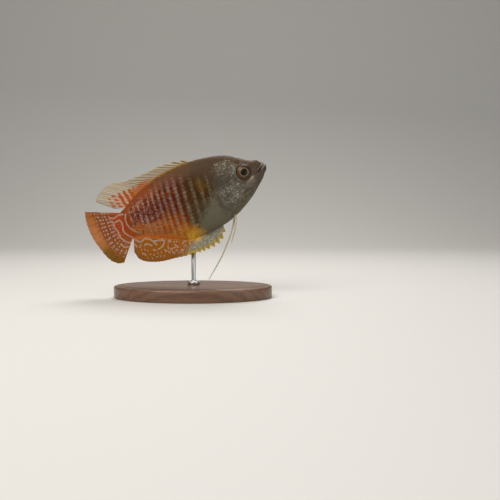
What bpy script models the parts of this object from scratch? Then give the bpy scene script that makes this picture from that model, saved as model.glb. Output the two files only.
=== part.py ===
"""Dwarf gourami: a still, life-size display model on a plain stand.

Metres, +Z up. The origin is the middle of the stand's underside, +X points the way the fish faces
and +Y is the fish's left. The fish is drawn in its own frame, in millimetres: "back" is the distance
behind the snout along the body's axis, "up" is above that axis and "side" is to the fish's left. An
empty at the snout carries that frame and pitches the fish head up.
"""

import math

import bmesh
import bpy
from mathutils import Vector

MM = 0.001
GAP = 0.3  # between two pieces that meet

# Pose of the fish over the stand
PITCH = math.radians(22.5)  # head up
SNOUT_FORWARD = 30.5  # of the stand's middle
SNOUT_HEIGHT = 53.2

# Body, to the root of the tail fin: (back, up) along the back and the belly, (back, half width) seen
# from above
BACK_LINE = [(-0.3, 2.2), (0.2, 3.0), (1.5, 4.2), (2.4, 5.2), (4.4, 5.8), (7.0, 7.4), (10.6, 10.2),
             (14.4, 12.4), (21.0, 14.2), (30.0, 15.4), (40.0, 15.1), (48.0, 13.5), (55.0, 10.8),
             (60.0, 8.2), (63.0, 6.9)]
BELLY_LINE = [(-0.3, 0.7), (0.0, -0.1), (1.1, -1.1), (2.7, -2.9), (5.0, -4.75), (8.5, -7.5),
              (12.4, -9.9), (18.5, -12.8), (25.0, -14.5), (33.0, -15.3), (40.0, -14.9), (46.0, -12.2),
              (52.0, -9.0), (57.0, -6.6), (63.0, -5.5)]
HALF_WIDTH = [(-0.3, 0.5), (0.5, 1.35), (2.6, 2.35), (5.5, 3.2), (10.0, 4.2), (16.0, 4.8), (23.0, 5.1),
              (30.0, 5.1), (38.0, 4.6), (46.0, 3.5), (54.0, 2.3), (63.0, 1.25)]
BACK_FULLNESS = 0.1  # how much wider a section is near the back than near the belly
SNOUT_BACK = -0.3
BODY_END = 63.0
SECTION_SIDES = 38

# Where the head meets the torso: the gill opening, curved back at mid height
GILL_AT_NAPE = 17.0
GILL_AT_THROAT = 15.5
GILL_BULGE = 5.5
GILL_CAP = 18.5  # middle of the two facing surfaces
HEAD_RINGS = 23
TORSO_RINGS = 15
TAIL_STALK_BACK = 52.0
STALK_RINGS = 6
TRIM_LENGTH = (12.0, 50.0)  # of the body that fins, feelers and the rod are trimmed to
TRIM_RINGS = 20

# Mouth: a slit that slants down from the front of the snout
MOUTH_FRONT = (-0.3, 2.75)
MOUTH_CORNER = (3.3, 0.25)
JAW_HINGE = (5.6, -4.3)
JAW_CUT_REACH = 6.0  # past the jaw on every side
LIP_RADIUS = 0.42
LIP_SUNK = 0.1
LIP_TAPER = 0.45
LIP_SPAN = (0.06, 0.96)  # of the way from the front of the mouth to its corner
LIP_STEPS = 8
LIP_SIDES = 8

# Nostrils, two on each side: (back, up, radius)
NOSTRILS = [(5.3, 4.3, 0.32), (3.8, 3.9, 0.24)]
NOSTRIL_DEPTH = 0.6

# Eyes
EYE_BACK = 9.15
EYE_UP = 2.3
EYE_RADIUS = 3.3
EYE_HALF_DEPTH = 1.6
EYE_BULGE = 0.85  # proud of the head

# Gill covers: rounded flaps, flush with the head in front and proud of the body behind
COVER_EDGE = [(23.6, -3.2), (23.0, 1.4), (20.9, 4.8), (18.2, 5.6), (16.5, 3.4), (16.1, -0.2),
              (15.4, -3.8), (13.6, -6.4), (12.4, -8.4), (14.2, -10.0), (17.6, -10.6), (20.8, -9.3),
              (22.8, -6.9)]
COVER_MIDDLE = (19.2, -3.0)
COVER_DEPTH = 0.5  # sunk in the flank
COVER_PROUD_FRONT = 0.05
COVER_PROUD_HIND = 0.4
COVER_BED_TOP = 2.0  # how far the cut for a flap reaches out of the flank
COVER_SPOKES = 32
COVER_RINGS = 4

# Unpaired fins: where the root runs, and (share of the root, back, up) of points along the margin
DORSAL_ROOT = (28.5, 60.2)
DORSAL_MARGIN = [
    (0.0, 29.7, 16.7), (0.047, 33.5, 17.7), (0.158, 41.4, 18.4), (0.3, 47.0, 18.0), (0.46, 52.3, 18.0),
    (0.61, 57.2, 18.2), (0.75, 62.6, 19.2), (0.86, 67.6, 17.6), (0.94, 70.6, 15.0), (0.975, 68.8, 12.9),
    (1.0, 64.6, 9.2),
]
DORSAL_RAYS = 24
DORSAL_SPACING = (1.5, 1.1)  # of the first and the last rays, in proportion
DORSAL_NOTCHES = (0.6, 0.15)  # depth between the first and the last rays' tips
ANAL_ROOT = (25.3, 61.8)
ANAL_MARGIN = [(0.0, 25.4, -17.3), (0.066, 27.4, -19.8), (0.13, 29.9, -21.1), (0.25, 35.0, -21.6),
               (0.42, 41.6, -20.9), (0.6, 49.2, -19.6), (0.75, 55.2, -18.6), (0.87, 60.6, -16.4),
               (0.95, 63.2, -14.0), (1.0, 64.0, -10.8)]
ANAL_RAYS = 23
ANAL_SPACING = (2.4, 0.95)
ANAL_NOTCHES = (1.5, 0.15)
TAIL_FIN_ROOT_TOP = 6.5
TAIL_FIN_ROOT_BOTTOM = -5.2
TAIL_FIN_MARGIN = [(0.0, 76.6, 12.7), (0.2, 77.8, 8.4), (0.45, 78.0, 1.8), (0.65, 76.6, -4.6),
                   (0.82, 74.8, -9.6), (0.93, 72.2, -12.4), (1.0, 69.6, -13.2)]
TAIL_FIN_RAYS = 15
TAIL_FIN_NOTCHES = (0.35, 0.35)
RAY_FLANK = 0.2  # half a ray's width at its foot, as a share of the way to the next
RAY_FORK = 0.45  # reach at which a forked ray parts
FORK_ROOT = 0.1
FORK_MARGIN = 0.26  # of each half from the ray's middle, as a share of the way to the next
MEMBRANE_HALF = (0.3, 0.25)  # half the thickness at the root and near the margin
RAY_HALF = (0.55, 0.36)
MARGIN_HALF = 0.13
MARGIN_START = 0.8  # reach at which the edge starts to thin

# Pectoral fins, fanned out behind the gill covers
PECTORAL_BACK = 24.9
PECTORAL_UP = -3.0
PECTORAL_ROOT = 2.6  # height of the root
PECTORAL_LENGTH = 14.0
PECTORAL_RAYS = 10
PECTORAL_ROWS = 5
PECTORAL_SPREAD = math.radians(62)
PECTORAL_DROOP = math.radians(24)  # of the middle ray below the body's axis
PECTORAL_FLARE = math.radians(27)  # away from the flank

# Pelvic feelers: (back, up, side) of points along each
LEFT_FEELER = [(18.8, -12.2, 0.7), (22.4, -17.4, 1.4), (26.1, -21.6, 2.0), (31.0, -26.4, 2.6),
               (35.0, -29.6, 2.6), (39.9, -33.4, 2.2)]
RIGHT_FEELER = [(18.9, -12.2, -0.7), (20.1, -15.7, -2.2), (21.7, -18.5, -5.5), (23.3, -20.5, -10.0),
                (24.8, -22.4, -16.0)]
FEELER_RADII = [(0.0, 0.5), (0.25, 0.3), (0.75, 0.26), (1.0, 0.14)]  # (share of the length, radius)
FEELER_STEPS = 22
FEELER_SIDES = 8

# Stand
BASE_LENGTH = 66.0
BASE_WIDTH = 38.0
BASE_HEIGHT = 5.0
BASE_CHAMFER = 0.8
BASE_SIDES = 64
ROD_SIDE = 2.8  # to the fish's left of the anal fin
ROD_RADIUS = 0.9
ROD_FOOT_RADIUS = 2.6
ROD_FOOT_HEIGHT = 1.2
ROD_FOOT_BEVEL = 0.5
ROD_TOP = 36.0  # before it is cut to the flank
ROD_SIDES = 24


def smooth_through(points, x):
    """The value at x of a smooth curve through (x, value) points."""
    x = min(max(x, points[0][0]), points[-1][0])
    i = next(k for k in range(len(points) - 1) if x <= points[k + 1][0])

    def slope(k):
        low, high = max(k - 1, 0), min(k + 1, len(points) - 1)
        return (points[high][1] - points[low][1]) / (points[high][0] - points[low][0])

    (x0, y0), (x1, y1) = points[i], points[i + 1]
    width = x1 - x0
    t = (x - x0) / width
    start = (1 + 2 * t) * (1 - t) ** 2 * y0 + t * (1 - t) ** 2 * width * slope(i)
    return start + t * t * (3 - 2 * t) * y1 + t * t * (t - 1) * width * slope(i + 1)


def blend(a, b, t):
    return a + (b - a) * t


def fish_point(back, up, side):
    """A point of the fish's frame, in millimetres, as its empty holds it, in metres."""
    return Vector((-back, side, up)) * MM


def body_point(back, angle, proud=0.0):
    """(back, up, side) on the body. Angle 0 is the back's ridge, and half a turn the belly's."""
    top, bottom = smooth_through(BACK_LINE, back), smooth_through(BELLY_LINE, back)
    half_depth = (top - bottom) / 2 + proud
    half_width = smooth_through(HALF_WIDTH, back) + proud
    up = (top + bottom) / 2 + half_depth * math.cos(angle)
    return back, up, half_width * math.sin(angle) * (1 + BACK_FULLNESS * math.cos(angle))


def flank(back, up):
    """Half the body's width at that place, or 0 outside its outline."""
    top, bottom = smooth_through(BACK_LINE, back), smooth_through(BELLY_LINE, back)
    share = (2 * up - top - bottom) / (top - bottom)
    if abs(share) >= 1:
        return 0.0
    return smooth_through(HALF_WIDTH, back) * math.sqrt(1 - share**2) * (1 + BACK_FULLNESS * share)


def gill_opening(angle):
    """How far back the head's hind edge lies at that angle round the body."""
    edge = blend(GILL_AT_NAPE, GILL_AT_THROAT, (1 - math.cos(angle)) / 2)
    return edge + GILL_BULGE * math.sin(angle) ** 2


def material(name, colour, roughness=0.4, metallic=0.0):
    made = bpy.data.materials.new(name)
    made.use_nodes = True
    shader = made.node_tree.nodes["Principled BSDF"]
    shader.inputs["Base Color"].default_value = (*colour, 1.0)
    shader.inputs["Roughness"].default_value = roughness
    shader.inputs["Metallic"].default_value = metallic
    return made


def add_object(name, mesh, parent=None, finish=None):
    made = bpy.data.objects.new(name, mesh)
    bpy.context.scene.collection.objects.link(made)
    made.parent = parent
    if finish:
        mesh.materials.append(finish)
    return made


def mesh_from(name, points, faces):
    """A mesh with its faces turned outwards."""
    made = bmesh.new()
    corners = [made.verts.new(point) for point in points]
    for face in faces:
        made.faces.new([corners[k] for k in face])
    bmesh.ops.recalc_face_normals(made, faces=made.faces)
    mesh = bpy.data.meshes.new(name)
    made.to_mesh(mesh)
    made.free()
    return mesh


def smooth_shaded(mesh, angle=48):
    mesh.shade_smooth()
    mesh.set_sharp_from_angle(angle=math.radians(angle))


def tube_faces(rings, sides, first, last):
    """Faces of a stack of rings of vertices, closed by fans to the vertices first and last."""
    faces = []
    for i in range(rings - 1):
        for j in range(sides):
            k = (j + 1) % sides
            faces.append((i * sides + j, i * sides + k, (i + 1) * sides + k, (i + 1) * sides + j))
    for j in range(sides):
        k = (j + 1) % sides
        faces.append((first, k, j))
        faces.append((last, (rings - 1) * sides + j, (rings - 1) * sides + k))
    return faces


def body_length(name, start, end, rings, start_cap, end_cap, crowding=1.0, proud=0.0):
    """A closed length of the body between two edges, each a function of the angle round it."""
    points = []
    for i in range(rings):
        share = (i / (rings - 1)) ** crowding
        for j in range(SECTION_SIDES):
            angle = 2 * math.pi * j / SECTION_SIDES
            points.append(fish_point(*body_point(blend(start(angle), end(angle), share), angle, proud)))
    for cap in (start_cap, end_cap):
        points.append(fish_point(cap, (body_point(cap, 0)[1] + body_point(cap, math.pi)[1]) / 2, 0))
    last = len(points) - 1
    return mesh_from(name, points, tube_faces(rings, SECTION_SIDES, last - 1, last))


def combine(target, others, operation, solver="EXACT"):
    """Joins others to target, or cuts them from it, and removes them."""
    group = bpy.data.collections.new(target.name + "_pieces")
    for other in others:
        group.objects.link(other)
    modifier = target.modifiers.new("pieces", "BOOLEAN")
    modifier.operation = operation
    modifier.operand_type = "COLLECTION"
    modifier.collection = group
    modifier.solver = solver
    bpy.context.view_layer.update()
    graph = bpy.context.evaluated_depsgraph_get()
    mesh = bpy.data.meshes.new_from_object(target.evaluated_get(graph))
    target.modifiers.clear()
    target.data = mesh
    for other in others:
        bpy.data.objects.remove(other)
    bpy.data.collections.remove(group)
    keep_largest(mesh)


def keep_largest(mesh):
    """Leaves a mesh only its largest closed surface."""
    made = bmesh.new()
    made.from_mesh(mesh)
    left, islands = set(made.verts), []
    while left:
        island, edge = set(), [left.pop()]
        while edge:
            vertex = edge.pop()
            island.add(vertex)
            for link in vertex.link_edges:
                other = link.other_vert(vertex)
                if other in left:
                    left.discard(other)
                    edge.append(other)
        islands.append(island)

    def size(island):
        spans = [[v.co[axis] for v in island] for axis in range(3)]
        return sum(max(span) - min(span) for span in spans)

    islands.sort(key=size)
    bmesh.ops.delete(made, geom=[v for island in islands[:-1] for v in island], context="VERTS")
    made.to_mesh(mesh)
    made.free()


def trim_to_body(target, carrier):
    """Cuts off what of target lies in the body or nearer to it than the gap."""
    body = body_length("body", lambda angle: TRIM_LENGTH[0], lambda angle: TRIM_LENGTH[1], TRIM_RINGS,
                       *TRIM_LENGTH, proud=GAP)
    combine(target, [add_object("body", body, carrier)], "DIFFERENCE")


def prism(name, outline, half_width):
    """A block across the fish whose side view is the outline of (back, up) points."""
    count = len(outline)
    points = [fish_point(back, up, side) for side in (-half_width, half_width) for back, up in outline]
    faces = [tuple(range(count)), tuple(range(2 * count - 1, count - 1, -1))]
    faces += [(k, (k + 1) % count, (k + 1) % count + count, k + count) for k in range(count)]
    return mesh_from(name, points, faces)


def ellipsoid(name, centre, radii, segments=24, rings=14):
    """An ellipsoid with its pole across the fish. Centre and radii are (back, up, side)."""
    made = bmesh.new()
    bmesh.ops.create_uvsphere(made, u_segments=segments, v_segments=rings, radius=1.0)
    for vertex in made.verts:
        vertex.co = fish_point(*(middle + radius * at for middle, radius, at in zip(centre, radii, vertex.co)))
    made.normal_update()
    bmesh.ops.recalc_face_normals(made, faces=made.faces)
    mesh = bpy.data.meshes.new(name)
    made.to_mesh(mesh)
    made.free()
    return mesh


def tube_along(name, path, radii, sides):
    """A closed tube through points in the fish's frame, with a radius at each."""
    spots = [Vector(spot) for spot in path]
    points, normal = [], Vector((0.3, 0.2, 1.0))
    for i, spot in enumerate(spots):
        along = (spots[min(i + 1, len(spots) - 1)] - spots[max(i - 1, 0)]).normalized()
        normal = (normal - along * normal.dot(along)).normalized()
        across = along.cross(normal)
        for j in range(sides):
            turn = 2 * math.pi * j / sides
            out = normal * math.cos(turn) + across * math.sin(turn)
            points.append(fish_point(*(spot + out * radii[i])))
    points += [fish_point(*spots[0]), fish_point(*spots[-1])]
    last = len(points) - 1
    return mesh_from(name, points, tube_faces(len(spots), sides, last - 1, last))


def sheet_solid(name, columns, rows, place):
    """A closed thin sheet. place(column, share) gives a point, the way across and half the thickness."""
    points = []
    for face in (1, -1):
        for column in columns:
            for row in range(rows + 1):
                spot, across, half = place(column, row / rows)
                points.append(fish_point(*(Vector(spot) + Vector(across) * half * face)))
    tall, layer = rows + 1, len(columns) * (rows + 1)
    faces = []
    for i in range(len(columns) - 1):
        for j in range(rows):
            a, b = i * tall + j, (i + 1) * tall + j
            for near, far, level in ((b, b + 1, 0), (b + 1, b, layer)):
                faces.append((a + level, near + level, far + level))
            faces += [(a, b + 1, a + 1), (a + layer, a + 1 + layer, b + 1 + layer)]
    rim = [i * tall for i in range(len(columns))]
    rim += [(len(columns) - 1) * tall + j for j in range(1, tall)]
    rim += [i * tall + rows for i in range(len(columns) - 2, -1, -1)]
    rim += list(range(rows - 1, 0, -1))
    for k, a in enumerate(rim):
        b = rim[(k + 1) % len(rim)]
        faces += [(a, b + layer, b), (a, a + layer, b + layer)]
    return mesh_from(name, points, faces)


def make_mouth(head, jaw):
    """Parts the lower jaw from the head along the mouth, and gives both their lips."""
    front, corner, hinge = Vector(MOUTH_FRONT), Vector(MOUTH_CORNER), Vector(JAW_HINGE)
    along = (corner - front).normalized()
    above = Vector((along.y, -along.x)) * -1
    behind = (hinge - corner).normalized()
    clear = JAW_CUT_REACH
    outline = [front - along * clear / 2, corner, hinge, hinge + behind * clear,
               Vector((-clear, hinge.y - clear)), Vector((-clear, front.y + clear / 3))]
    grown = [point.copy() for point in outline]
    for k in (0, 1):
        grown[k] = grown[k] + above * GAP / 2
    for k in (1, 2, 3):
        grown[k] = grown[k] + Vector((GAP / 2, 0))
    shrunk = [2 * point - wide for point, wide in zip(outline, grown)]
    combine(head, [add_object("cut", prism("cut", grown, clear), head.parent)], "DIFFERENCE")
    combine(jaw, [add_object("keep", prism("keep", shrunk, clear), jaw.parent)], "INTERSECT")
    for owner, sign in ((head, 1), (jaw, -1)):
        path, radii = [], []
        for k in range(-LIP_STEPS, LIP_STEPS + 1):
            away = abs(k) / LIP_STEPS
            spot = front.lerp(corner, blend(*LIP_SPAN, math.sin(away * math.pi / 2) ** 2))
            spot = spot + above * sign * (GAP / 2 + LIP_RADIUS)
            side = max(flank(*spot) - LIP_SUNK, 0.0)
            path.append((spot.x, spot.y, math.copysign(side, k) if k else 0.0))
            radii.append(LIP_RADIUS * (1 - LIP_TAPER * away**3))
        lip = add_object("lip", tube_along("lip", path, radii, LIP_SIDES), owner.parent)
        combine(owner, [lip], "UNION")


def eye_centre(side):
    return EYE_BACK, EYE_UP, side * (flank(EYE_BACK, EYE_UP) + EYE_BULGE - EYE_HALF_DEPTH)


def make_head(carrier, finish):
    """The head with its eye sockets and nostrils, and the lower jaw."""
    head, jaw = [
        add_object(name, body_length(name, lambda angle: SNOUT_BACK, gill_opening, HEAD_RINGS,
                                     SNOUT_BACK - 0.12, GILL_CAP, 1.25), carrier, finish)
        for name in ("head", "lower_jaw")
    ]
    cutters = []
    for side in (1, -1):
        radii = (EYE_RADIUS + GAP, EYE_RADIUS + GAP, EYE_HALF_DEPTH + GAP)
        cutters.append(add_object("socket", ellipsoid("socket", eye_centre(side), radii), carrier))
        for back, up, radius in NOSTRILS:
            spot = (back, up, side * flank(back, up))
            pit = ellipsoid("nostril", spot, (radius, radius, NOSTRIL_DEPTH), 10, 8)
            cutters.append(add_object("nostril", pit, carrier))
    combine(head, cutters, "DIFFERENCE")
    make_mouth(head, jaw)
    return head


def make_eyes(carrier, finish):
    for name, side in (("eye_left", 1), ("eye_right", -1)):
        radii = (EYE_RADIUS, EYE_RADIUS, EYE_HALF_DEPTH)
        add_object(name, ellipsoid(name, eye_centre(side), radii), carrier, finish)


def closed_curve(points, turn):
    """A point of the smooth closed curve through the points. One turn is once round."""
    place = turn * len(points)
    i, t = int(place), place % 1.0
    before, a, b, after = (Vector(points[(i + k) % len(points)]) for k in (-1, 0, 1, 2))
    slope_a, slope_b = (b - before) / 2, (after - a) / 2
    start = a * (1 + 2 * t) * (1 - t) ** 2 + slope_a * t * (1 - t) ** 2
    return start + b * t * t * (3 - 2 * t) + slope_b * t * t * (t - 1)


def gill_cover_mesh(name, side, grow, depth, proud, rings):
    """A flap over a flank, from depth inside it to proud(hindness) outside it, its edge grown."""
    middle, points = Vector(COVER_MIDDLE), []
    for outer in (True, False):
        for ring in range(rings, -1, -1):
            share = ring / rings
            for spoke in range(COVER_SPOKES if ring else 1):
                edge = closed_curve(COVER_EDGE, spoke / COVER_SPOKES)
                away = (edge - middle).normalized()
                back, up = middle.lerp(edge + away * grow, share)
                hind = share**2 * (1 + away.x) / 2
                rest = proud(hind) if outer else -depth
                points.append(fish_point(back, up, side * (flank(back, up) + rest)))
    layer = rings * COVER_SPOKES + 1
    faces = []
    for j in range(COVER_SPOKES):
        k = (j + 1) % COVER_SPOKES
        for start in (0, layer):
            tip = start + layer - 1
            faces.append((tip, tip - COVER_SPOKES + j, tip - COVER_SPOKES + k))
            for i in range(rings - 1):
                a, b = start + i * COVER_SPOKES, start + (i + 1) * COVER_SPOKES
                faces.append((a + j, b + j, b + k))
                faces.append((a + j, b + k, a + k))
        faces.append((j, layer + j, layer + k))
        faces.append((j, layer + k, k))
    return mesh_from(name, points, faces)


def make_gill_covers(head, torso, carrier, finish):
    """A flap on each side, let into the head and the torso."""
    def bed_top(hind):
        return COVER_BED_TOP

    def flap_top(hind):
        return blend(COVER_PROUD_FRONT, COVER_PROUD_HIND, hind)

    for owner in (head, torso):
        beds = [gill_cover_mesh("bed", side, GAP, COVER_DEPTH + GAP, bed_top, 2) for side in (1, -1)]
        combine(owner, [add_object("bed", bed, carrier) for bed in beds], "DIFFERENCE")
    for name, side in (("gill_cover_left", 1), ("gill_cover_right", -1)):
        mesh = gill_cover_mesh(name, side, 0.0, COVER_DEPTH, flap_top, COVER_RINGS)
        add_object(name, mesh, carrier, finish)


def make_body(carrier, skin, tail_skin):
    """The torso, from the gill opening, and the tail stalk."""
    torso = body_length("torso", lambda angle: gill_opening(angle) + GAP, lambda angle: TAIL_STALK_BACK,
                        TORSO_RINGS, GILL_CAP + GAP, TAIL_STALK_BACK)
    torso = add_object("torso", torso, carrier, skin)
    stalk = body_length("tail_stalk", lambda angle: TAIL_STALK_BACK + GAP, lambda angle: BODY_END,
                        STALK_RINGS, TAIL_STALK_BACK + GAP, BODY_END)
    add_object("tail_stalk", stalk, carrier, tail_skin)
    return torso


def spaced(count, spacing):
    """Shares of a length for count rays whose spacing changes evenly from the first to the last."""
    steps = [blend(*spacing, k / (count - 2)) for k in range(count - 1)]
    return [sum(steps[:k]) / sum(steps) for k in range(count)]


def ray_columns(shares, forked=False):
    """(share at the root, share at the margin, reach of the ridge, notch) for each column of a fin."""
    columns = []
    for i, share in enumerate(shares):
        before = share - shares[i - 1] if i else 0.0
        after = shares[i + 1] - share if i + 1 < len(shares) else 0.0
        if forked and before and after:
            columns.append((share - FORK_ROOT * before, share - FORK_MARGIN * before, 1.0, 0.0))
            columns.append((share, share, RAY_FORK, 0.4))
            columns.append((share + FORK_ROOT * after, share + FORK_MARGIN * after, 1.0, 0.0))
        else:
            if before:
                columns.append((share - RAY_FLANK * before, share - RAY_FLANK * before, 0.0, 0.3))
            columns.append((share, share, 1.0, 0.0))
            if after:
                columns.append((share + RAY_FLANK * after, share + RAY_FLANK * after, 0.0, 0.3))
        if after:
            columns.append((share + after / 2, share + after / 2, 0.0, 1.0))
    return columns


def margin_at(margin, share):
    return Vector([smooth_through([(point[0], point[k]) for point in margin], share) for k in (1, 2)])


def fin_half(reach, ridge_reach):
    """Half a fin's thickness at a share of its reach, on a ridge or between ridges."""
    half = blend(*(RAY_HALF if reach <= ridge_reach else MEMBRANE_HALF), reach)
    return blend(half, MARGIN_HALF, max(reach - MARGIN_START, 0.0) / (1 - MARGIN_START))


def make_fin(name, root, margin, columns, notches, rows, sway):
    """A fin in the fish's middle plane, from its root out to its margin, swayed a little sideways."""
    def place(column, reach):
        root_share, margin_share, ridge_reach, notch = column
        share = blend(root_share, margin_share, reach)
        start, end = root(share), margin_at(margin, share)
        kept = 1 - notch * blend(*notches, share) / (end - start).length
        spot = start.lerp(end, reach * kept)
        return (spot.x, spot.y, sway(share, reach)), (0, 0, 1), fin_half(reach, ridge_reach)

    return sheet_solid(name, columns, rows, place)


def make_unpaired_fins(carrier, dorsal, anal, tail):
    def dorsal_root(share):
        back = blend(*DORSAL_ROOT, share)
        return Vector((back, smooth_through(BACK_LINE, back) + GAP))

    def anal_root(share):
        back = blend(*ANAL_ROOT, share)
        return Vector((back, smooth_through(BELLY_LINE, back) - GAP))

    def tail_root(share):
        return Vector((BODY_END + GAP, blend(TAIL_FIN_ROOT_TOP, TAIL_FIN_ROOT_BOTTOM, share)))

    def dorsal_sway(share, reach):
        return 0.9 * share**2 * reach**1.5

    def anal_sway(share, reach):
        return -0.8 * share * reach**1.5 * math.sin(5 * share)

    def tail_sway(share, reach):
        return 1.2 * reach**2 * math.sin(2.6 * share + 0.6)

    dorsal_rays = ray_columns(spaced(DORSAL_RAYS, DORSAL_SPACING))
    anal_rays = ray_columns(spaced(ANAL_RAYS, ANAL_SPACING))
    tail_rays = ray_columns(spaced(TAIL_FIN_RAYS, (1, 1)), forked=True)
    for name, finish, *shape in (
        ("dorsal_fin", dorsal, dorsal_root, DORSAL_MARGIN, dorsal_rays, DORSAL_NOTCHES, 5, dorsal_sway),
        ("anal_fin", anal, anal_root, ANAL_MARGIN, anal_rays, ANAL_NOTCHES, 5, anal_sway),
        ("tail_fin", tail, tail_root, TAIL_FIN_MARGIN, tail_rays, TAIL_FIN_NOTCHES, 7, tail_sway),
    ):
        add_object(name, make_fin(name, *shape), carrier, finish)


def make_pectoral_fins(carrier, finish):
    """A fan on each side, its root against the flank."""
    for name, side in (("pectoral_fin_left", 1), ("pectoral_fin_right", -1)):
        def place(column, reach):
            share = column / (2 * PECTORAL_RAYS - 2)
            turn = blend(PECTORAL_SPREAD / 2, -PECTORAL_SPREAD / 2, share) - PECTORAL_DROOP
            length = PECTORAL_LENGTH * (1 - 0.32 * abs(2 * share - 0.85) ** 2.2)
            up = PECTORAL_UP + PECTORAL_ROOT * (0.5 - share)
            rest = flank(PECTORAL_BACK, up) - GAP
            out = length * reach * math.cos(turn) * math.sin(PECTORAL_FLARE)
            spot = (PECTORAL_BACK + length * reach * math.cos(turn) * math.cos(PECTORAL_FLARE),
                    up + length * reach * math.sin(turn), side * (rest + out))
            across = (-math.sin(PECTORAL_FLARE), 0, side * math.cos(PECTORAL_FLARE))
            return spot, across, fin_half(reach, 0.0 if column % 2 else 1.0)

        mesh = sheet_solid(name, range(2 * PECTORAL_RAYS - 1), PECTORAL_ROWS, place)
        trim_to_body(add_object(name, mesh, carrier, finish), carrier)


def make_feelers(carrier, finish):
    """The long single rays of the pelvic fins."""
    for name, line in (("feeler_left", LEFT_FEELER), ("feeler_right", RIGHT_FEELER)):
        knots = [0.0]
        for a, b in zip(line, line[1:]):
            knots.append(knots[-1] + (Vector(b) - Vector(a)).length)
        path, radii = [], []
        for step in range(FEELER_STEPS + 1):
            share = step / FEELER_STEPS
            run = share * knots[-1]
            tracks = [[(knot, point[k]) for knot, point in zip(knots, line)] for k in range(3)]
            path.append([smooth_through(track, run) for track in tracks])
            radii.append(smooth_through(FEELER_RADII, share))
        mesh = tube_along(name, path, radii, FEELER_SIDES)
        trim_to_body(add_object(name, mesh, carrier, finish), carrier)


def turned(name, profile, sides, stretch=(1.0, 1.0)):
    """A solid turned about Z from (radius, height) points in millimetres."""
    points = []
    for radius, height in profile:
        for k in range(sides):
            turn = 2 * math.pi * k / sides
            x, y = radius * math.cos(turn) * stretch[0], radius * math.sin(turn) * stretch[1]
            points.append(Vector((x, y, height)) * MM)
    points += [Vector((0, 0, profile[0][1])) * MM, Vector((0, 0, profile[-1][1])) * MM]
    last = len(points) - 1
    return mesh_from(name, points, tube_faces(len(profile), sides, last - 1, last))


def make_stand(carrier, base_finish, rod_finish):
    """An oval base, and a rod whose top is cut to the flank that it meets."""
    half = BASE_LENGTH / 2
    profile = [(half, 0), (half, BASE_HEIGHT - BASE_CHAMFER), (half - BASE_CHAMFER, BASE_HEIGHT)]
    base = turned("stand_base", profile, BASE_SIDES, (1.0, BASE_WIDTH / BASE_LENGTH))
    add_object("stand_base", base, None, base_finish)
    foot = BASE_HEIGHT + GAP
    top = foot + ROD_FOOT_HEIGHT
    profile = [(ROD_FOOT_RADIUS, foot), (ROD_FOOT_RADIUS, top - ROD_FOOT_BEVEL),
               (ROD_FOOT_RADIUS - ROD_FOOT_BEVEL, top), (ROD_RADIUS, top), (ROD_RADIUS, ROD_TOP)]
    rod = add_object("stand_rod", turned("stand_rod", profile, ROD_SIDES), None, rod_finish)
    rod.location = (0, ROD_SIDE * MM, 0)
    trim_to_body(rod, carrier)


def main():
    for old in list(bpy.data.objects):
        bpy.data.objects.remove(old)
    carrier = bpy.data.objects.new("fish_frame", None)
    bpy.context.scene.collection.objects.link(carrier)
    carrier.location = Vector((SNOUT_FORWARD, 0, SNOUT_HEIGHT)) * MM
    carrier.rotation_euler = (0, -PITCH, 0)
    bpy.context.view_layer.update()

    head_skin = material("head_skin", (0.13, 0.11, 0.085))
    flank_skin = material("flank_skin", (0.42, 0.13, 0.05))
    stalk_skin = material("stalk_skin", (0.5, 0.16, 0.04))
    head = make_head(carrier, head_skin)
    torso = make_body(carrier, flank_skin, stalk_skin)
    make_gill_covers(head, torso, carrier, material("cheek_skin", (0.2, 0.2, 0.17), 0.35))
    make_eyes(carrier, material("eye", (0.05, 0.025, 0.015), 0.08))
    make_unpaired_fins(carrier, material("dorsal", (0.62, 0.55, 0.4)), material("anal", (0.6, 0.3, 0.05)),
                       material("tail", (0.6, 0.22, 0.04)))
    make_pectoral_fins(carrier, material("clear_fin", (0.7, 0.68, 0.6)))
    make_feelers(carrier, material("feeler", (0.75, 0.68, 0.5)))
    steel = material("rod_steel", (0.6, 0.6, 0.6), 0.3, 1.0)
    make_stand(carrier, material("base_wood", (0.16, 0.09, 0.05), 0.45), steel)
    for piece in bpy.data.objects:
        if piece.type == "MESH" and "fin" not in piece.name:
            smooth_shaded(piece.data)


main()
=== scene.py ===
import math

import bmesh
import bpy
import numpy as np
from bpy.props import FloatProperty, FloatVectorProperty, IntProperty, PointerProperty
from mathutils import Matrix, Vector


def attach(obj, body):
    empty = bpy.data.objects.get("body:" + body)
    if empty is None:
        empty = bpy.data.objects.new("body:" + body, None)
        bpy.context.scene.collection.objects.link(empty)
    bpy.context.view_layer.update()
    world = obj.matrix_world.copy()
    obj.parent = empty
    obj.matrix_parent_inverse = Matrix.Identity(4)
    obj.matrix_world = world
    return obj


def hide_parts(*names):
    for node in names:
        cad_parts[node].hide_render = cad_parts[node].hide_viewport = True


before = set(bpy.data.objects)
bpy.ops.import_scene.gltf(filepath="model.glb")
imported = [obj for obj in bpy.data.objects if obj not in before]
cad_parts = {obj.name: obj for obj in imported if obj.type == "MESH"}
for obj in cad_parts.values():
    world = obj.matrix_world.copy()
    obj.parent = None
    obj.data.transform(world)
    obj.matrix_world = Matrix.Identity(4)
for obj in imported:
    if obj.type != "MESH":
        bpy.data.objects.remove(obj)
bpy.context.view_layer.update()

bl_info = {
    "name": "Dwarf gourami",
    "version": (1, 0, 0),
    "blender": (4, 5, 0),
    "location": "3D View > Sidebar > Gourami",
    "description": "Finishes a life-size dwarf gourami on its stand: skin, scales, fins, eyes and stage",
    "category": "Object",
}

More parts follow.
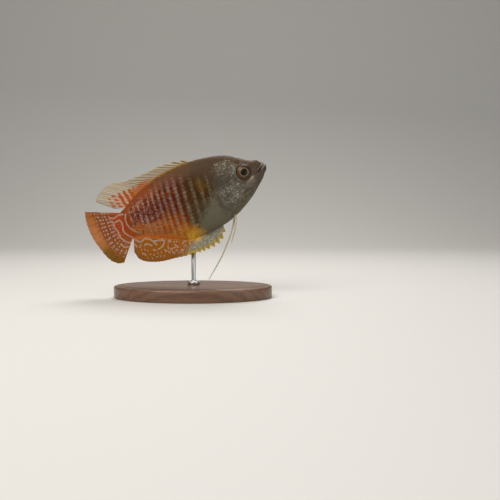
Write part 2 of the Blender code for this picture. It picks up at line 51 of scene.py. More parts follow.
# The fish is drawn in its own frame, in millimetres: back is the distance behind the snout along the
# body's axis, up is above that axis and side is to the fish's left.
MM = 0.001
CRISP_ANGLE = math.radians(50)  # edges sharper than this show as edges
BODY = "root"  # the one rigid body that every piece rides on

BACK_LINE = [(-0.3, 2.2), (0.2, 3.0), (1.5, 4.2), (2.4, 5.2), (4.4, 5.8), (7.0, 7.4), (10.6, 10.2),
             (14.4, 12.4), (21.0, 14.2), (30.0, 15.4), (40.0, 15.1), (48.0, 13.5), (55.0, 10.8),
             (60.0, 8.2), (63.0, 6.9)]
BELLY_LINE = [(-0.3, 0.7), (0.0, -0.1), (1.1, -1.1), (2.7, -2.9), (5.0, -4.75), (8.5, -7.5),
              (12.4, -9.9), (18.5, -12.8), (25.0, -14.5), (33.0, -15.3), (40.0, -14.9), (46.0, -12.2),
              (52.0, -9.0), (57.0, -6.6), (63.0, -5.5)]
HALF_WIDTH = [(-0.3, 0.5), (0.5, 1.35), (2.6, 2.35), (5.5, 3.2), (10.0, 4.2), (16.0, 4.8), (23.0, 5.1),
              (30.0, 5.1), (38.0, 4.6), (46.0, 3.5), (54.0, 2.3), (63.0, 1.25)]
BACK_FULLNESS = 0.1
SNOUT_BACK = -0.3
SNOUT_DOME = 0.22  # the snout's rounding in front of that
BODY_END = 63.0
STALK_OVER_FIN = 1.8  # how far flesh and scales run on over the tail fin's root
EDGE_SHARPENING = 0.35  # share of the width that is lost where the body meets the long fins

MOUTH_FRONT = Vector((-0.3, 2.75))
MOUTH_CORNER = Vector((3.3, 0.25))
JAW_HINGE = Vector((5.6, -4.3))
NOSTRILS = [(5.3, 4.3, 0.32), (3.8, 3.9, 0.24)]
EYE = Vector((9.15, 2.3))
EYE_RADIUS = 3.3
EYE_DEPTH = 1.6  # to each side of its rim
EYE_BULGE = 0.85  # how far it stands out of the head
PUPIL_RADIUS = 1.45
PUPIL_RISE = 0.14
COVER_EDGE = [(23.6, -3.2), (23.0, 1.4), (20.9, 4.8), (18.2, 5.6), (16.5, 3.4), (16.1, -0.2),
              (15.4, -3.8), (13.6, -6.4), (12.4, -8.4), (14.2, -10.0), (17.6, -10.6), (20.8, -9.3),
              (22.8, -6.9)]
COVER_MIDDLE = (19.2, -3.0)

# Where the shining bars cross the body's axis. Each bar is one column of scales, with a dark column after it
BARS = [6.5, 8.5, 10.6, 12.7, 14.9, 17.2, 19.5, 21.9, 24.8, 28.0, 31.5, 35.1, 38.4, 41.3, 43.8, 46.2, 48.6,
        50.9, 53.2, 55.4, 57.6, 59.8, 62.0, 64.2, 66.4]
BAR_LEAN = math.tan(math.radians(6.5))  # towards the tail on their way down
ROW_PITCH = [(0.0, 1.1), (10.0, 1.2), (20.0, 1.4), (35.0, 1.55), (48.0, 1.45), (60.0, 1.15), (66.0, 1.05)]

DORSAL_ROOT = (28.5, 60.2)
DORSAL_MARGIN = [(0.0, 29.7, 16.7), (0.047, 33.5, 17.7), (0.158, 41.4, 18.4), (0.3, 47.0, 18.0),
                 (0.46, 52.3, 18.0), (0.61, 57.2, 18.2), (0.75, 62.6, 19.2), (0.86, 67.6, 17.6),
                 (0.94, 70.6, 15.0), (0.975, 68.8, 12.9), (1.0, 64.6, 9.2)]
ANAL_ROOT = (25.3, 61.8)
ANAL_MARGIN = [(0.0, 25.4, -17.3), (0.066, 27.4, -19.8), (0.13, 29.9, -21.1), (0.25, 35.0, -21.6),
               (0.42, 41.6, -20.9), (0.6, 49.2, -19.6), (0.75, 55.2, -18.6), (0.87, 60.6, -16.4),
               (0.95, 63.2, -14.0), (1.0, 64.0, -10.8)]
TAIL_ROOT = (6.5, -5.2)
TAIL_MARGIN = [(0.0, 76.6, 12.7), (0.2, 77.8, 8.4), (0.45, 78.0, 1.8), (0.65, 76.6, -4.6),
               (0.82, 74.8, -9.6), (0.93, 72.2, -12.4), (1.0, 69.6, -13.2)]
# Pale lines and dots of the fins, as (back, up) points: those of the tail first, from its root on
STROKES = [
    [(60.9, 5.2), (61.7, 3.4), (61.9, 1.6), (61.6, -0.2), (60.7, -1.8), (59.2, -3.6)],
    [(62.0, 5.6), (64.0, 6.0), (66.2, 5.6), (68.0, 6.4)],
    [(66.4, 3.7), (64.6, 4.0), (63.9, 3.1), (64.0, 1.3), (64.6, -0.8), (64.0, -2.5), (62.6, -4.1)],
    [(69.0, 5.0), (67.3, 4.4), (67.4, 1.9), (66.8, -0.2), (67.1, -2.2), (66.2, -4.0), (64.7, -6.0),
     (63.4, -6.4)],
    [(70.2, 9.3), (69.4, 7.0), (69.2, 3.4), (69.5, 1.6), (68.8, 0.4), (69.0, -1.4), (69.4, -3.5),
     (68.7, -4.9), (67.6, -5.8), (66.8, -7.2), (65.4, -7.6)],
    [(72.7, 9.6), (71.6, 6.4), (71.6, 3.4), (71.2, 1.9), (71.2, -0.2), (71.5, -2.2), (71.2, -4.4),
     (70.7, -6.4), (69.6, -7.4), (68.4, -8.6), (67.0, -9.4)],
    [(62.6, -4.0), (61.2, -6.3), (59.7, -7.8), (57.6, -7.2), (55.6, -8.4), (54.7, -9.9), (54.1, -11.4)],
    [(54.4, -9.6), (51.8, -10.2), (50.6, -10.9), (51.2, -12.2), (52.6, -13.1), (54.0, -13.3)],
    [(58.8, -9.7), (58.1, -9.4), (56.8, -10.2), (56.2, -10.9)],
    [(62.4, -7.8), (62.0, -9.0)], [(60.9, -9.6), (60.3, -9.0)], [(56.2, -12.8), (55.4, -13.3)],
    [(61.0, -12.5), (59.9, -13.6)], [(51.8, -14.6), (51.3, -15.5)], [(48.9, -12.0), (48.2, -12.3)],
    [(46.9, -14.2), (46.2, -15.6)], [(43.0, -14.2), (42.3, -14.8)], [(45.4, -17.2), (44.6, -17.6)],
    [(60.7, -10.9)], [(59.4, -11.4)], [(58.4, -12.2)], [(58.1, -14.1)], [(56.8, -14.9)], [(55.0, -14.9)],
    [(53.5, -15.0)], [(55.9, -16.1)], [(54.4, -16.4)], [(52.9, -16.9)], [(50.2, -16.4)], [(48.9, -15.2)],
    [(50.0, -13.9)], [(48.4, -17.2)], [(46.6, -18.0)], [(59.6, -15.2)], [(58.0, -16.0)],
]
RAY_JOINT = 0.42  # length of one joint of a soft ray
PECTORAL_BACK = 24.9
PECTORAL_UP = -3.0
PECTORAL_ROOT = 2.6
PECTORAL_LENGTH = 14.0
PECTORAL_RAYS = 10
PECTORAL_SPREAD = math.radians(62)
PECTORAL_DROOP = math.radians(24)
PECTORAL_FLARE = math.radians(27)
LEFT_FEELER = [(18.8, -12.2, 0.7), (22.4, -17.4, 1.4), (26.1, -21.6, 2.0), (31.0, -26.4, 2.6),
               (35.0, -29.6, 2.6), (39.9, -33.4, 2.2)]
RIGHT_FEELER = [(18.9, -12.2, -0.7), (20.1, -15.7, -2.2), (21.7, -18.5, -5.5), (23.3, -20.5, -10.0),
                (24.8, -22.4, -16.0)]
FEELER_RADII = [(0.0, 0.5), (0.25, 0.3), (0.75, 0.26), (1.0, 0.14)]
FEELER_SIDES = 14

# The rod and its foot, in millimetres of the stand
ROD_TOP = 33.0
ROD_ASIDE = 2.8  # to the fish's left of the base's middle
FOOT_RADIUS = 2.6
FOOT_HEIGHT = 1.5

# The stage, in metres
FLOOR_HALF = 3.0
COVE_START = 0.3
COVE_RADIUS = 0.3
COVE_TOP = 1.2
LIGHT_TARGET = Vector((0.0, 0.0, 0.03))
LIGHTS = [("key", (-0.16, -0.26, 0.36), 0.26, 1.5, (1.0, 0.97, 0.93)),
          ("fill", (0.36, -0.28, 0.12), 0.3, 0.45, (0.93, 0.96, 1.0)),
          ("top", (0.03, 0.16, 0.36), 0.22, 1.1, (1.0, 0.98, 0.95))]
CAMERA_AIM = Vector((0.0238, 0.0, 0.0198))
CAMERA_DISTANCE = 0.2896
CAMERA_RISE = math.radians(4)

# Linear colours of small dark and light places
DEEP_RED = (0.05, 0.012, 0.002)
NAPE_SHADE = (0.035, 0.026, 0.018)
SMUDGE = (0.05, 0.035, 0.018)
# Painted shade in the mouth's slit and in the groove along the gill cover's edge
CRACK_SHADE = (0.012, 0.009, 0.007)
LIGHT_GRAIN = (0.6, 0.5, 0.42)
DARK_GRAIN = (0.03, 0.015, 0.01)
SCALE_RIM = (0.03, 0.02, 0.012)
JOINT_SHADE = (0.02, 0.012, 0.008)
BRIGHT_TIP = (0.95, 0.95, 0.9)
IRIS_MOTTLE = (0.02, 0.008, 0.005)
IRIS_SHADE = (0.03, 0.014, 0.009)
EYE_RIM = (0.014, 0.009, 0.006)
PUPIL = (0.003, 0.003, 0.004)
STEEL = (0.56, 0.56, 0.55)


# Numbers


def curve(points, x):
    """Values at x of the smooth curve through (x, value) points."""
    xs, ys = np.array(points, float).T
    x = np.clip(np.asarray(x, float), xs[0], xs[-1])
    slopes = np.empty_like(ys)
    slopes[1:-1] = (ys[2:] - ys[:-2]) / (xs[2:] - xs[:-2])
    slopes[0], slopes[-1] = np.diff(ys[:2])[0] / np.diff(xs[:2])[0], np.diff(ys[-2:])[0] / np.diff(xs[-2:])[0]
    i = np.clip(np.searchsorted(xs, x, side="right") - 1, 0, len(xs) - 2)
    width = xs[i + 1] - xs[i]
    t = (x - xs[i]) / width
    start = (1 + 2 * t) * (1 - t) ** 2 * ys[i] + t * (1 - t) ** 2 * width * slopes[i]
    return start + t * t * (3 - 2 * t) * ys[i + 1] + t * t * (t - 1) * width * slopes[i + 1]


def track(points, x):
    """Like curve, for points of (x, value, value, ...)."""
    rows = np.array(points, float)
    return np.stack([curve(rows[:, (0, k)], x) for k in range(1, rows.shape[1])], axis=-1)


def closed_curve(points, count):
    """count points along the smooth closed curve through the points."""
    rows = np.array(points, float)
    place = np.arange(count) / count * len(rows)
    i = place.astype(int)
    t = (place - i)[:, None]
    before, a, b, after = (rows[(i + k) % len(rows)] for k in (-1, 0, 1, 2))
    start = a * (1 + 2 * t) * (1 - t) ** 2 + (b - before) / 2 * t * (1 - t) ** 2
    return start + b * t * t * (3 - 2 * t) + (after - a) / 2 * t * t * (t - 1)


def step(low, high, x):
    """0 up to low, 1 from high on, and smooth between. Low may be above high."""
    t = np.clip((x - low) / (high - low), 0, 1)
    return t * t * (3 - 2 * t)


def bell(x, width):
    return np.exp(-((x / width) ** 2))


def blend(a, b, t):
    return a + (b - a) * t


def unit(vectors):
    return vectors / np.maximum(np.linalg.norm(vectors, axis=-1, keepdims=True), 1e-12)


def stack(*parts):
    return np.stack(np.broadcast_arrays(*parts), axis=-1)


def flank(back, up):
    """Half the body's width at that place, or 0 outside its outline."""
    top, bottom = curve(BACK_LINE, back), curve(BELLY_LINE, back)
    share = np.clip((2 * up - top - bottom) / (top - bottom), -1, 1)
    return curve(HALF_WIDTH, back) * np.sqrt(1 - share**2) * (1 + BACK_FULLNESS * share)


# Meshes


def placed(points):
    """Points of the fish's frame, at their place over the stand."""
    pose = bpy.context.scene.gourami_pose
    back, up, side = points.T
    cosine, sine = math.cos(pose.pitch), math.sin(pose.pitch)
    forward = pose.snout_forward / MM - cosine * back - sine * up
    height = pose.snout_height / MM - sine * back + cosine * up
    return stack(forward, side, height)


def add_piece(name, points, faces, material, replaces=(), attributes=None, uv=None, fish=True,
              crisp=False):
    """A piece from points in the fish's frame, or in millimetres of the stand's, riding on the body."""
    points = np.asarray(points, float).reshape(-1, 3)
    if fish:
        points = placed(points)
    mesh = bpy.data.meshes.new(name)
    mesh.from_pydata((points * MM).tolist(), [], faces)
    shell = bmesh.new()
    shell.from_mesh(mesh)
    bmesh.ops.recalc_face_normals(shell, faces=shell.faces)
    shell.to_mesh(mesh)
    shell.free()
    mesh.shade_smooth()
    if crisp:
        mesh.set_sharp_from_angle(angle=CRISP_ANGLE)
    for key, values in (attributes or {}).items():
        made = mesh.attributes.new(key, "FLOAT_VECTOR", "POINT")
        made.data.foreach_set("vector", np.asarray(values, np.float32).ravel())
    if uv is not None:
        corner = np.empty(len(mesh.loops), np.int32)
        mesh.loops.foreach_get("vertex_index", corner)
        mesh.uv_layers.new(name="OFBake").data.foreach_set("uv", np.asarray(uv, np.float32)[corner].ravel())
    piece = bpy.data.objects.new(name, mesh)
    bpy.context.scene.collection.objects.link(piece)
    mesh.materials.append(material)
    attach(piece, BODY)
    if replaces:
        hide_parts(*replaces)
    return piece


def grid_faces(rows, columns, start=0, closed=False, flip=False):
    """Quads over a grid of vertices, whose rows close on themselves if closed."""
    i, j = np.meshgrid(np.arange(rows - 1), np.arange(columns if closed else columns - 1), indexing="ij")
    k = (j + 1) % columns
    quads = np.stack([i * columns + j, i * columns + k, (i + 1) * columns + k, (i + 1) * columns + j], -1)
    quads = quads.reshape(-1, 4) + start
    return (quads[:, ::-1] if flip else quads).tolist()


def ring_faces(rings, sides):
    """Faces of a closed form over a row of rings, with a flat cap at each end."""
    caps = [list(range(sides))[::-1], list(range((rings - 1) * sides, rings * sides))]
    return grid_faces(rings, sides, closed=True) + caps


def rim_faces(rows, columns):
    """Quads between the edges of two grids of vertices, the second numbered on from the first."""
    count = rows * columns
    index = np.arange(count).reshape(rows, columns)
    loop = np.concatenate([index[0, :-1], index[:-1, -1], index[-1, :0:-1], index[:0:-1, 0]])
    around = np.roll(loop, -1)
    return np.stack([loop, around, around + count, loop + count], -1).tolist()


def tube(path, radii, sides):
    """Points and faces of a closed tube through the points, with a radius at each."""
    path = np.asarray(path, float)
    along = unit(np.gradient(path, axis=0))
    normal, points = np.array([0.2, 0.3, 1.0]), []
    for spot, ahead, radius in zip(path, along, radii):
        normal = unit(normal - ahead * (normal @ ahead))
        across = np.cross(ahead, normal)
        turn = 2 * np.pi * np.arange(sides)[:, None] / sides
        points.append(spot + (normal * np.cos(turn) + across * np.sin(turn)) * radius)
    return np.concatenate(points), ring_faces(len(path), sides)


# Shader maths


class Value:
    """A shader socket on which arithmetic adds Math nodes."""

    def __init__(self, graph, link):
        self.graph = graph
        self.link = link

    def __add__(self, other):
        return self.graph.maths("ADD", self, other)

    def __radd__(self, other):
        return self.graph.maths("ADD", other, self)

    def __sub__(self, other):
        return self.graph.maths("SUBTRACT", self, other)

    def __rsub__(self, other):
        return self.graph.maths("SUBTRACT", other, self)

    def __mul__(self, other):
        return self.graph.maths("MULTIPLY", self, other)

    def __rmul__(self, other):
        return self.graph.maths("MULTIPLY", other, self)

    def __truediv__(self, other):
        return self.graph.maths("DIVIDE", self, other)

    def __rtruediv__(self, other):
        return self.graph.maths("DIVIDE", other, self)

    def __neg__(self):
        return self.graph.maths("MULTIPLY", self, -1.0)

    def __abs__(self):
        return self.graph.maths("ABSOLUTE", self)


class Graph:
    """A material whose nodes are made by calls."""

    def __init__(self, name):
        self.material = bpy.data.materials.new(name)
        self.material.use_nodes = True
        self.tree = self.material.node_tree
        self.shader = self.tree.nodes["Principled BSDF"]

    def feed(self, socket, value):
        if isinstance(value, Value):
            self.tree.links.new(value.link, socket)
        elif socket.type == "RGBA":
            socket.default_value = (*value, 1.0)
        else:
            socket.default_value = value

    def surface(self, **values):
        """Feeds the surface's sockets, named in small letters with underscores, and gives the material."""
        sockets = {socket.name.lower().replace(" ", "_"): socket for socket in self.shader.inputs}
        for key, value in values.items():
            self.feed(sockets[key], value)
        return self.material

    def node(self, kind, settings, values, output=0):
        made = self.tree.nodes.new(kind)
        for key, value in settings.items():
            setattr(made, key, value)
        for key, value in values.items():
            self.feed(made.inputs[key], value)
        return Value(self, made.outputs[output])

    def maths(self, operation, *values):
        return self.node("ShaderNodeMath", {"operation": operation}, dict(enumerate(values)))

    def attribute(self, name):
        return self.node("ShaderNodeAttribute", {"attribute_name": name}, {}, "Vector")

    def parts(self, vector):
        made = self.node("ShaderNodeSeparateXYZ", {}, {0: vector})
        return [Value(self, made.link.node.outputs[k]) for k in range(3)]

    def join(self, x, y, z):
        return self.node("ShaderNodeCombineXYZ", {}, {0: x, 1: y, 2: z})

    def step(self, low, high, value):
        """0 up to low, 1 from high on, and smooth between. Low may be above high."""
        values = {"Value": value, "From Min": low, "From Max": high}
        return self.node("ShaderNodeMapRange", {"interpolation_type": "SMOOTHSTEP"}, values)

    def mix(self, factor, a, b):
        return self.node("ShaderNodeMix", {"data_type": "RGBA"}, {0: factor, 6: a, 7: b}, 2)

    def noise(self, vector, scale, detail=2.0):
        return self.node("ShaderNodeTexNoise", {}, {"Vector": vector, "Scale": scale, "Detail": detail})

    def uneven(self, vector, scale, detail=2.0):
        """Noise about 0, mostly within 0.5 of it."""
        return (self.noise(vector, scale, detail) - 0.5) * 3

    def cells(self, vector, scale):
        return self.node("ShaderNodeTexVoronoi", {}, {"Vector": vector, "Scale": scale}, "Distance")

    def most(self, *values):
        """The largest of some values."""
        largest = values[0]
        for value in values[1:]:
            largest = self.maths("MAXIMUM", largest, value)
        return largest

    def zone(self, place, middle, reach, ragged=0.0, outer=1.3, inner=0.5):
        """1 in an oval round the middle and 0 outside it, with a soft edge."""
        away = [(here - there) / far for here, there, far in zip(place, middle, reach)]
        return self.step(outer, inner, away[0] * away[0] + away[1] * away[1] + ragged)

    def bump(self, height, distance, strength=1.0):
        return self.node("ShaderNodeBump", {}, {"Strength": strength, "Distance": distance, "Height": height})


def rgb(red, green, blue):
    """A linear colour from the 0 to 255 values of a screen."""
    return tuple((c / 12.92 if c <= 0.04045 else ((c + 0.055) / 1.055) ** 2.4)
                 for c in (red / 255, green / 255, blue / 255))


# Body surface

HEAD_STATIONS = 170
BODY_STATIONS = 150
AROUND = 240  # vertices of a ring
HEAD_END = 24.0
COAT_DEPTH = 0.2


def ring_angles():
    """Angles round the body from the back's ridge, closer together on the flanks."""
    turn = 2 * np.pi * np.arange(AROUND) / AROUND
    return turn + 0.3 * np.sin(2 * turn)


def cover_distance(back, up):
    """Signed distance to the gill cover's edge, negative inside, and how much that edge is the hind one."""
    edge = closed_curve(COVER_EDGE, 240)
    middle = np.array(COVER_MIDDLE)
    spots = np.stack([back, up], -1).reshape(-1, 2)
    near = np.empty(len(spots))
    for start in range(0, len(spots), 8000):
        part = spots[start : start + 8000]
        near[start : start + 8000] = np.min(np.linalg.norm(part[:, None] - edge[None], axis=-1), axis=1)
    a, b = edge, np.roll(edge, -1, axis=0)
    inside = np.zeros(len(spots), bool)
    for (x0, y0), (x1, y1) in zip(a, b):
        crosses = (y0 > spots[:, 1]) != (y1 > spots[:, 1])
        if y0 != y1:
            inside ^= crosses & (spots[:, 0] < (x1 - x0) * (spots[:, 1] - y0) / (y1 - y0) + x0)
    away = unit(spots - middle)
    hind = step(-0.35, 0.35, away[:, 0] - 0.25 * away[:, 1])
    return np.where(inside, -near, near).reshape(back.shape), hind.reshape(back.shape)


def coat_cover(back, up):
    """How far scales cover a place: 0 on the bare snout, lips, throat and round the eye, and 1 behind."""
    from_eye = np.hypot(back - EYE.x, up - EYE.y)
    bare_line = 8.6 + 0.05 * (up - 4) ** 2 * (up < 4)
    return step(0, 1.2, back - bare_line) * step(3.9, 4.4, from_eye)


def relief(back, up):
    """How far the skin stands out of the plain body's surface, in millimetres."""
    along = (MOUTH_CORNER - MOUTH_FRONT).normalized()
    from_front = (back - MOUTH_FRONT.x, up - MOUTH_FRONT.y)
    gape = (MOUTH_CORNER - MOUTH_FRONT).length
    t = (from_front[0] * along.x + from_front[1] * along.y) / gape
    d = from_front[1] * along.x - from_front[0] * along.y
    lips = step(1.06, 0.72, t) * bell(np.abs(d) - 0.5, 0.34) * 0.3
    fold = step(1.25, 0.9, t) * step(-0.2, 0.2, t) * bell(np.abs(d) - 1.15, 0.22) * -0.09
    slit = step(1.08, 1.0, t) * bell(d, 0.15) * -0.75
    hinge = (JAW_HINGE - MOUTH_CORNER).normalized()
    from_corner = (back - MOUTH_CORNER.x, up - MOUTH_CORNER.y)
    down = from_corner[0] * hinge.x + from_corner[1] * hinge.y
    off = from_corner[0] * hinge.y - from_corner[1] * hinge.x
    reach = (JAW_HINGE - MOUTH_CORNER).length
    crease = step(-0.4, 0.4, down) * step(reach, reach * 0.5, down) * bell(off, 0.3) * -0.14
    out = lips + fold + slit + crease
    for at_back, at_up, radius in NOSTRILS:
        away = np.hypot(back - at_back, up - at_up)
        out = out + bell(away - radius * 1.35, 0.13) * 0.07 - step(radius * 1.1, radius * 0.5, away) * 0.42
    from_eye = np.hypot(back - EYE.x, up - EYE.y)
    out = out + bell(from_eye - 3.3, 0.22) * 0.16 - bell(from_eye - 4.1, 0.5) * 0.05
    out = out - step(3.08, 2.75, from_eye) * 1.3
    q, hind = cover_distance(back, up)
    flap = step(-4.0, -0.15, q) * step(0.14, -0.1, q) * 0.1 * hind
    groove = (bell(q - 0.2, 0.2) * -0.08 - bell(q - 1.0, 0.7) * 0.03) * hind
    front_groove = bell(q, 0.5) * -0.035 * (1 - hind)
    out = out + flap + groove + front_groove
    return out - COAT_DEPTH * coat_cover(back, up)


class Surface:
    """The skin as a grid of rings. Its locate finds a place on it."""

    ARC_STEP = 0.05
    ARCS = np.arange(-24, 24.01, ARC_STEP)

    def __init__(self):
        dome = SNOUT_BACK - SNOUT_DOME * np.cos(np.linspace(0.06, np.pi / 2, 9))[:-1]
        head = SNOUT_BACK + (HEAD_END - SNOUT_BACK) * np.linspace(0, 1, HEAD_STATIONS) ** 1.15
        rear = np.linspace(HEAD_END, BODY_END + STALK_OVER_FIN, BODY_STATIONS)[1:]
        self.backs = np.concatenate([dome, head, rear])
        angle = ring_angles()[None, :]
        back = self.backs[:, None]
        top, bottom = curve(BACK_LINE, back), curve(BELLY_LINE, back)
        width = curve(HALF_WIDTH, back)
        ahead = np.clip((SNOUT_BACK - back) / SNOUT_DOME, 0, 1)
        shrink = np.sqrt(1 - ahead**2)
        thin = blend(1.0, 0.16, step(BODY_END - 1.0, BODY_END + STALK_OVER_FIN, back))
        thin = thin * (1 - EDGE_SHARPENING * step(0.5, 1.0, np.abs(np.cos(angle))) * step(26, 36, back))
        up = (top + bottom) / 2 + (top - bottom) / 2 * np.cos(angle) * shrink
        side = width * np.sin(angle) * (1 + BACK_FULLNESS * np.cos(angle)) * shrink * thin
        plain = stack(np.broadcast_to(back, up.shape), up, side)
        normals = self.grid_normals(plain)
        self.points = plain + normals * relief(plain[..., 0], plain[..., 1])[..., None]
        self.normals = self.grid_normals(self.points)
        half = AROUND // 2
        steps = np.linalg.norm(np.diff(plain[:, : half + 1], axis=1), axis=-1)
        arcs = np.concatenate([np.zeros((len(self.backs), 1)), np.cumsum(steps, axis=1)], axis=1)
        middle = arcs[:, half // 2][:, None]
        arcs = middle - arcs  # up from the flank's middle
        self.top_arc, self.low_arc = arcs[:, 0], arcs[:, -1]
        index = np.arange(half + 1)
        self.table = np.empty((len(self.backs), len(self.ARCS)))
        for i, row in enumerate(arcs):
            found = np.interp(self.ARCS, row[::-1], index[::-1])
            first, last = max(row[0] - row[1], 0.02), max(row[-2] - row[-1], 0.02)
            found -= np.clip(self.ARCS - row[0], 0, None) / first
            found += np.clip(row[-1] - self.ARCS, 0, None) / last
            self.table[i] = found

    @staticmethod
    def grid_normals(points):
        along = np.gradient(points, axis=0)
        around = (np.roll(points, -1, axis=1) - np.roll(points, 1, axis=1)) / 2
        return unit(np.cross(around, along))

    @staticmethod
    def column(back, up):
        """The column of scales at a place, as a number with a fraction. Odd ones are the shining bars."""
        return 2 * np.interp(back + BAR_LEAN * up, BARS, np.arange(len(BARS))) + 1

    @staticmethod
    def column_back(column):
        return np.interp((column - 1) / 2, np.arange(len(BARS)), BARS)

    def locate(self, back, arc, side):
        """Grid place (ring, vertex) at a back and a height along the skin from the flank's middle."""
        i = np.interp(back, self.backs, np.arange(len(self.backs)))
        i0 = np.clip(i.astype(int), 0, len(self.backs) - 2)
        f = i - i0
        m = np.clip((arc - self.ARCS[0]) / self.ARC_STEP, 0, len(self.ARCS) - 1.001)
        m0 = m.astype(int)
        g = m - m0
        j = np.zeros_like(back)
        for di, wi in ((0, 1 - f), (1, f)):
            for dm, wm in ((0, 1 - g), (1, g)):
                j = j + self.table[i0 + di, m0 + dm] * wi * wm
        return i, j if side > 0 else AROUND - j

    def sample(self, grid, i, j):
        i0 = np.clip(np.floor(i).astype(int), 0, len(self.backs) - 2)
        j0 = np.floor(j).astype(int)
        f, g = (i - i0)[..., None], (j - j0)[..., None]
        j1 = (j0 + 1) % AROUND
        j0 = j0 % AROUND
        near = grid[i0, j0] * (1 - g) + grid[i0, j1] * g
        far = grid[i0 + 1, j0] * (1 - g) + grid[i0 + 1, j1] * g
        return near * (1 - f) + far * f


_surface = []


def surface():
    if not _surface:
        _surface.append(Surface())
    return _surface[0]


# What a user may change


def shade(name, description, red, green, blue):
    """A colour property whose default is given as on a screen."""
    return FloatVectorProperty(name=name, description=description, subtype="COLOR", size=3, min=0, max=1,
                               default=rgb(red, green, blue))


class GouramiPose(bpy.types.PropertyGroup):
    """Where the fish is held."""

    snout_forward: FloatProperty(name="Snout forward", unit="LENGTH", default=0.0305,
                                 description="How far ahead of the base's middle the snout is")
    snout_height: FloatProperty(name="Snout height", unit="LENGTH", default=0.0532,
                                description="Height of the snout over the table")
    pitch: FloatProperty(name="Pitch", subtype="ANGLE", default=math.radians(22.5),
                         description="How far the fish points up")


class GouramiSizes(bpy.types.PropertyGroup):
    """Fine sizes of the scales, fins and stand."""

    scale_thickness: FloatProperty(name="Scale thickness", unit="LENGTH", default=0.00006,
                                   description="Thickness of a scale at its front")
    scale_lift: FloatProperty(name="Scale lift", unit="LENGTH", default=0.0001,
                              description="How far a scale's rear edge stands over the skin")
    membrane: FloatProperty(name="Fin skin", unit="LENGTH", default=0.00014,
                            description="Thickness of the skin between a fin's rays")
    ray: FloatProperty(name="Fin ray", unit="LENGTH", default=0.00042,
                       description="Thickness of a ray at its root")
    base_length: FloatProperty(name="Base length", unit="LENGTH", default=0.066,
                               description="Length of the stand's base along the fish")
    base_width: FloatProperty(name="Base width", unit="LENGTH", default=0.038,
                              description="Width of the stand's base")
    base_height: FloatProperty(name="Base height", unit="LENGTH", default=0.005,
                               description="Thickness of the stand's base")
    rod_radius: FloatProperty(name="Rod radius", unit="LENGTH", default=0.0009,
                              description="Radius of the rod")
    scale_seed: IntProperty(name="Scale seed", default=7,
                            description="Start of the scales' small differences")


class GouramiColours(bpy.types.PropertyGroup):
    """Colours of the fish and the stand."""

    back: shade("Back", "Ridge of the back", 95, 68, 42)
    head: shade("Head", "Top of the head", 73, 54, 37)
    cheek: shade("Cheek", "Cheek and gill cover", 78, 71, 61)
    # Pale colour, also painted as rim light along the lips and the throat's lower edge
    throat: shade("Throat", "Lips and the throat's edge", 196, 190, 176)
    # Pale pink tone, also painted as a highlight below the eye's front
    blush_and_highlight: shade("Blush", "Pale patch below the eye", 176, 152, 132)
    fleck: shade("Flecks", "Shining flecks on the head", 176, 180, 162)
    breast: shade("Breast", "Breast and front of the belly", 98, 94, 76)
    bar_front: shade("Dark bar, front", "Dark bars behind the head", 62, 36, 2)
    bar_middle: shade("Dark bar, middle", "Dark bars of the flank's middle", 76, 24, 0)
    bar_maroon: shade("Dark bar, maroon", "The darkest place of the flank", 84, 24, 6)
    bar_hind: shade("Dark bar, hind", "Dark bars before the tail", 130, 56, 2)
    bar_low: shade("Dark bar, low", "Dark bars along the belly", 160, 76, 0)
    pale_front: shade("Pale bar, front", "Shining bars behind the head", 98, 90, 68)
    pale_middle: shade("Pale bar, middle", "Shining bars of the flank's middle", 124, 98, 86)
    pale_maroon: shade("Pale bar, maroon", "Shining scales of the darkest place", 142, 112, 108)
    pale_hind: shade("Pale bar, hind", "Shining bars before the tail", 152, 122, 108)
    pale_low: shade("Pale bar, low", "Shining bars along the belly", 160, 116, 80)
    belly_gold: shade("Belly gold", "The golden place over the anal fin", 226, 178, 46)
    # Partly the fish's own colour, partly painted light that lifts the shade where the anal fin meets the
    # body
    seam: shade("Seam", "Bright line over the anal fin", 186, 98, 34)
    fin_red: shade("Fin red", "Cells by the root of the tail fin", 152, 56, 10)
    fin_strip: shade("Dorsal fin strips", "Strips on the soft part of the dorsal fin", 164, 60, 0)
    fin_brown: shade("Fin brown", "Cells towards the margin", 126, 58, 6)
    fin_salmon: shade("Fin salmon", "The tail fin's plain margin", 172, 108, 62)
    fin_ochre: shade("Fin ochre", "Lower tip of the tail fin", 112, 72, 0)
    fin_lilac: shade("Fin lilac", "Pale lines of the fins", 168, 150, 136)
    fin_cream: shade("Fin cream", "Dorsal fin and feelers", 180, 167, 141)
    fin_dark: shade("Fin dark", "Skin between the dorsal fin's spines", 92, 80, 62)
    fin_orange: shade("Fin orange", "Hind lobe of the anal fin", 148, 83, 0)
    fin_yellow: shade("Fin yellow", "Points of the anal fin's front", 176, 146, 40)
    fin_grey: shade("Fin grey", "Front of the anal fin", 124, 120, 102)
    iris: shade("Iris", "Outer part of the iris", 70, 42, 24)
    iris_gold: shade("Iris gold", "Ring round the pupil", 160, 140, 84)
    wood: shade("Wood", "The base's wood", 112, 76, 50)
    wood_dark: shade("Wood grain", "Dark grain of the base's wood", 66, 42, 28)
    floor: shade("Floor", "Floor and backdrop", 206, 204, 200)


def palette():
    return bpy.context.scene.gourami_colours


def sizes():
    return bpy.context.scene.gourami_sizes


# Finishes


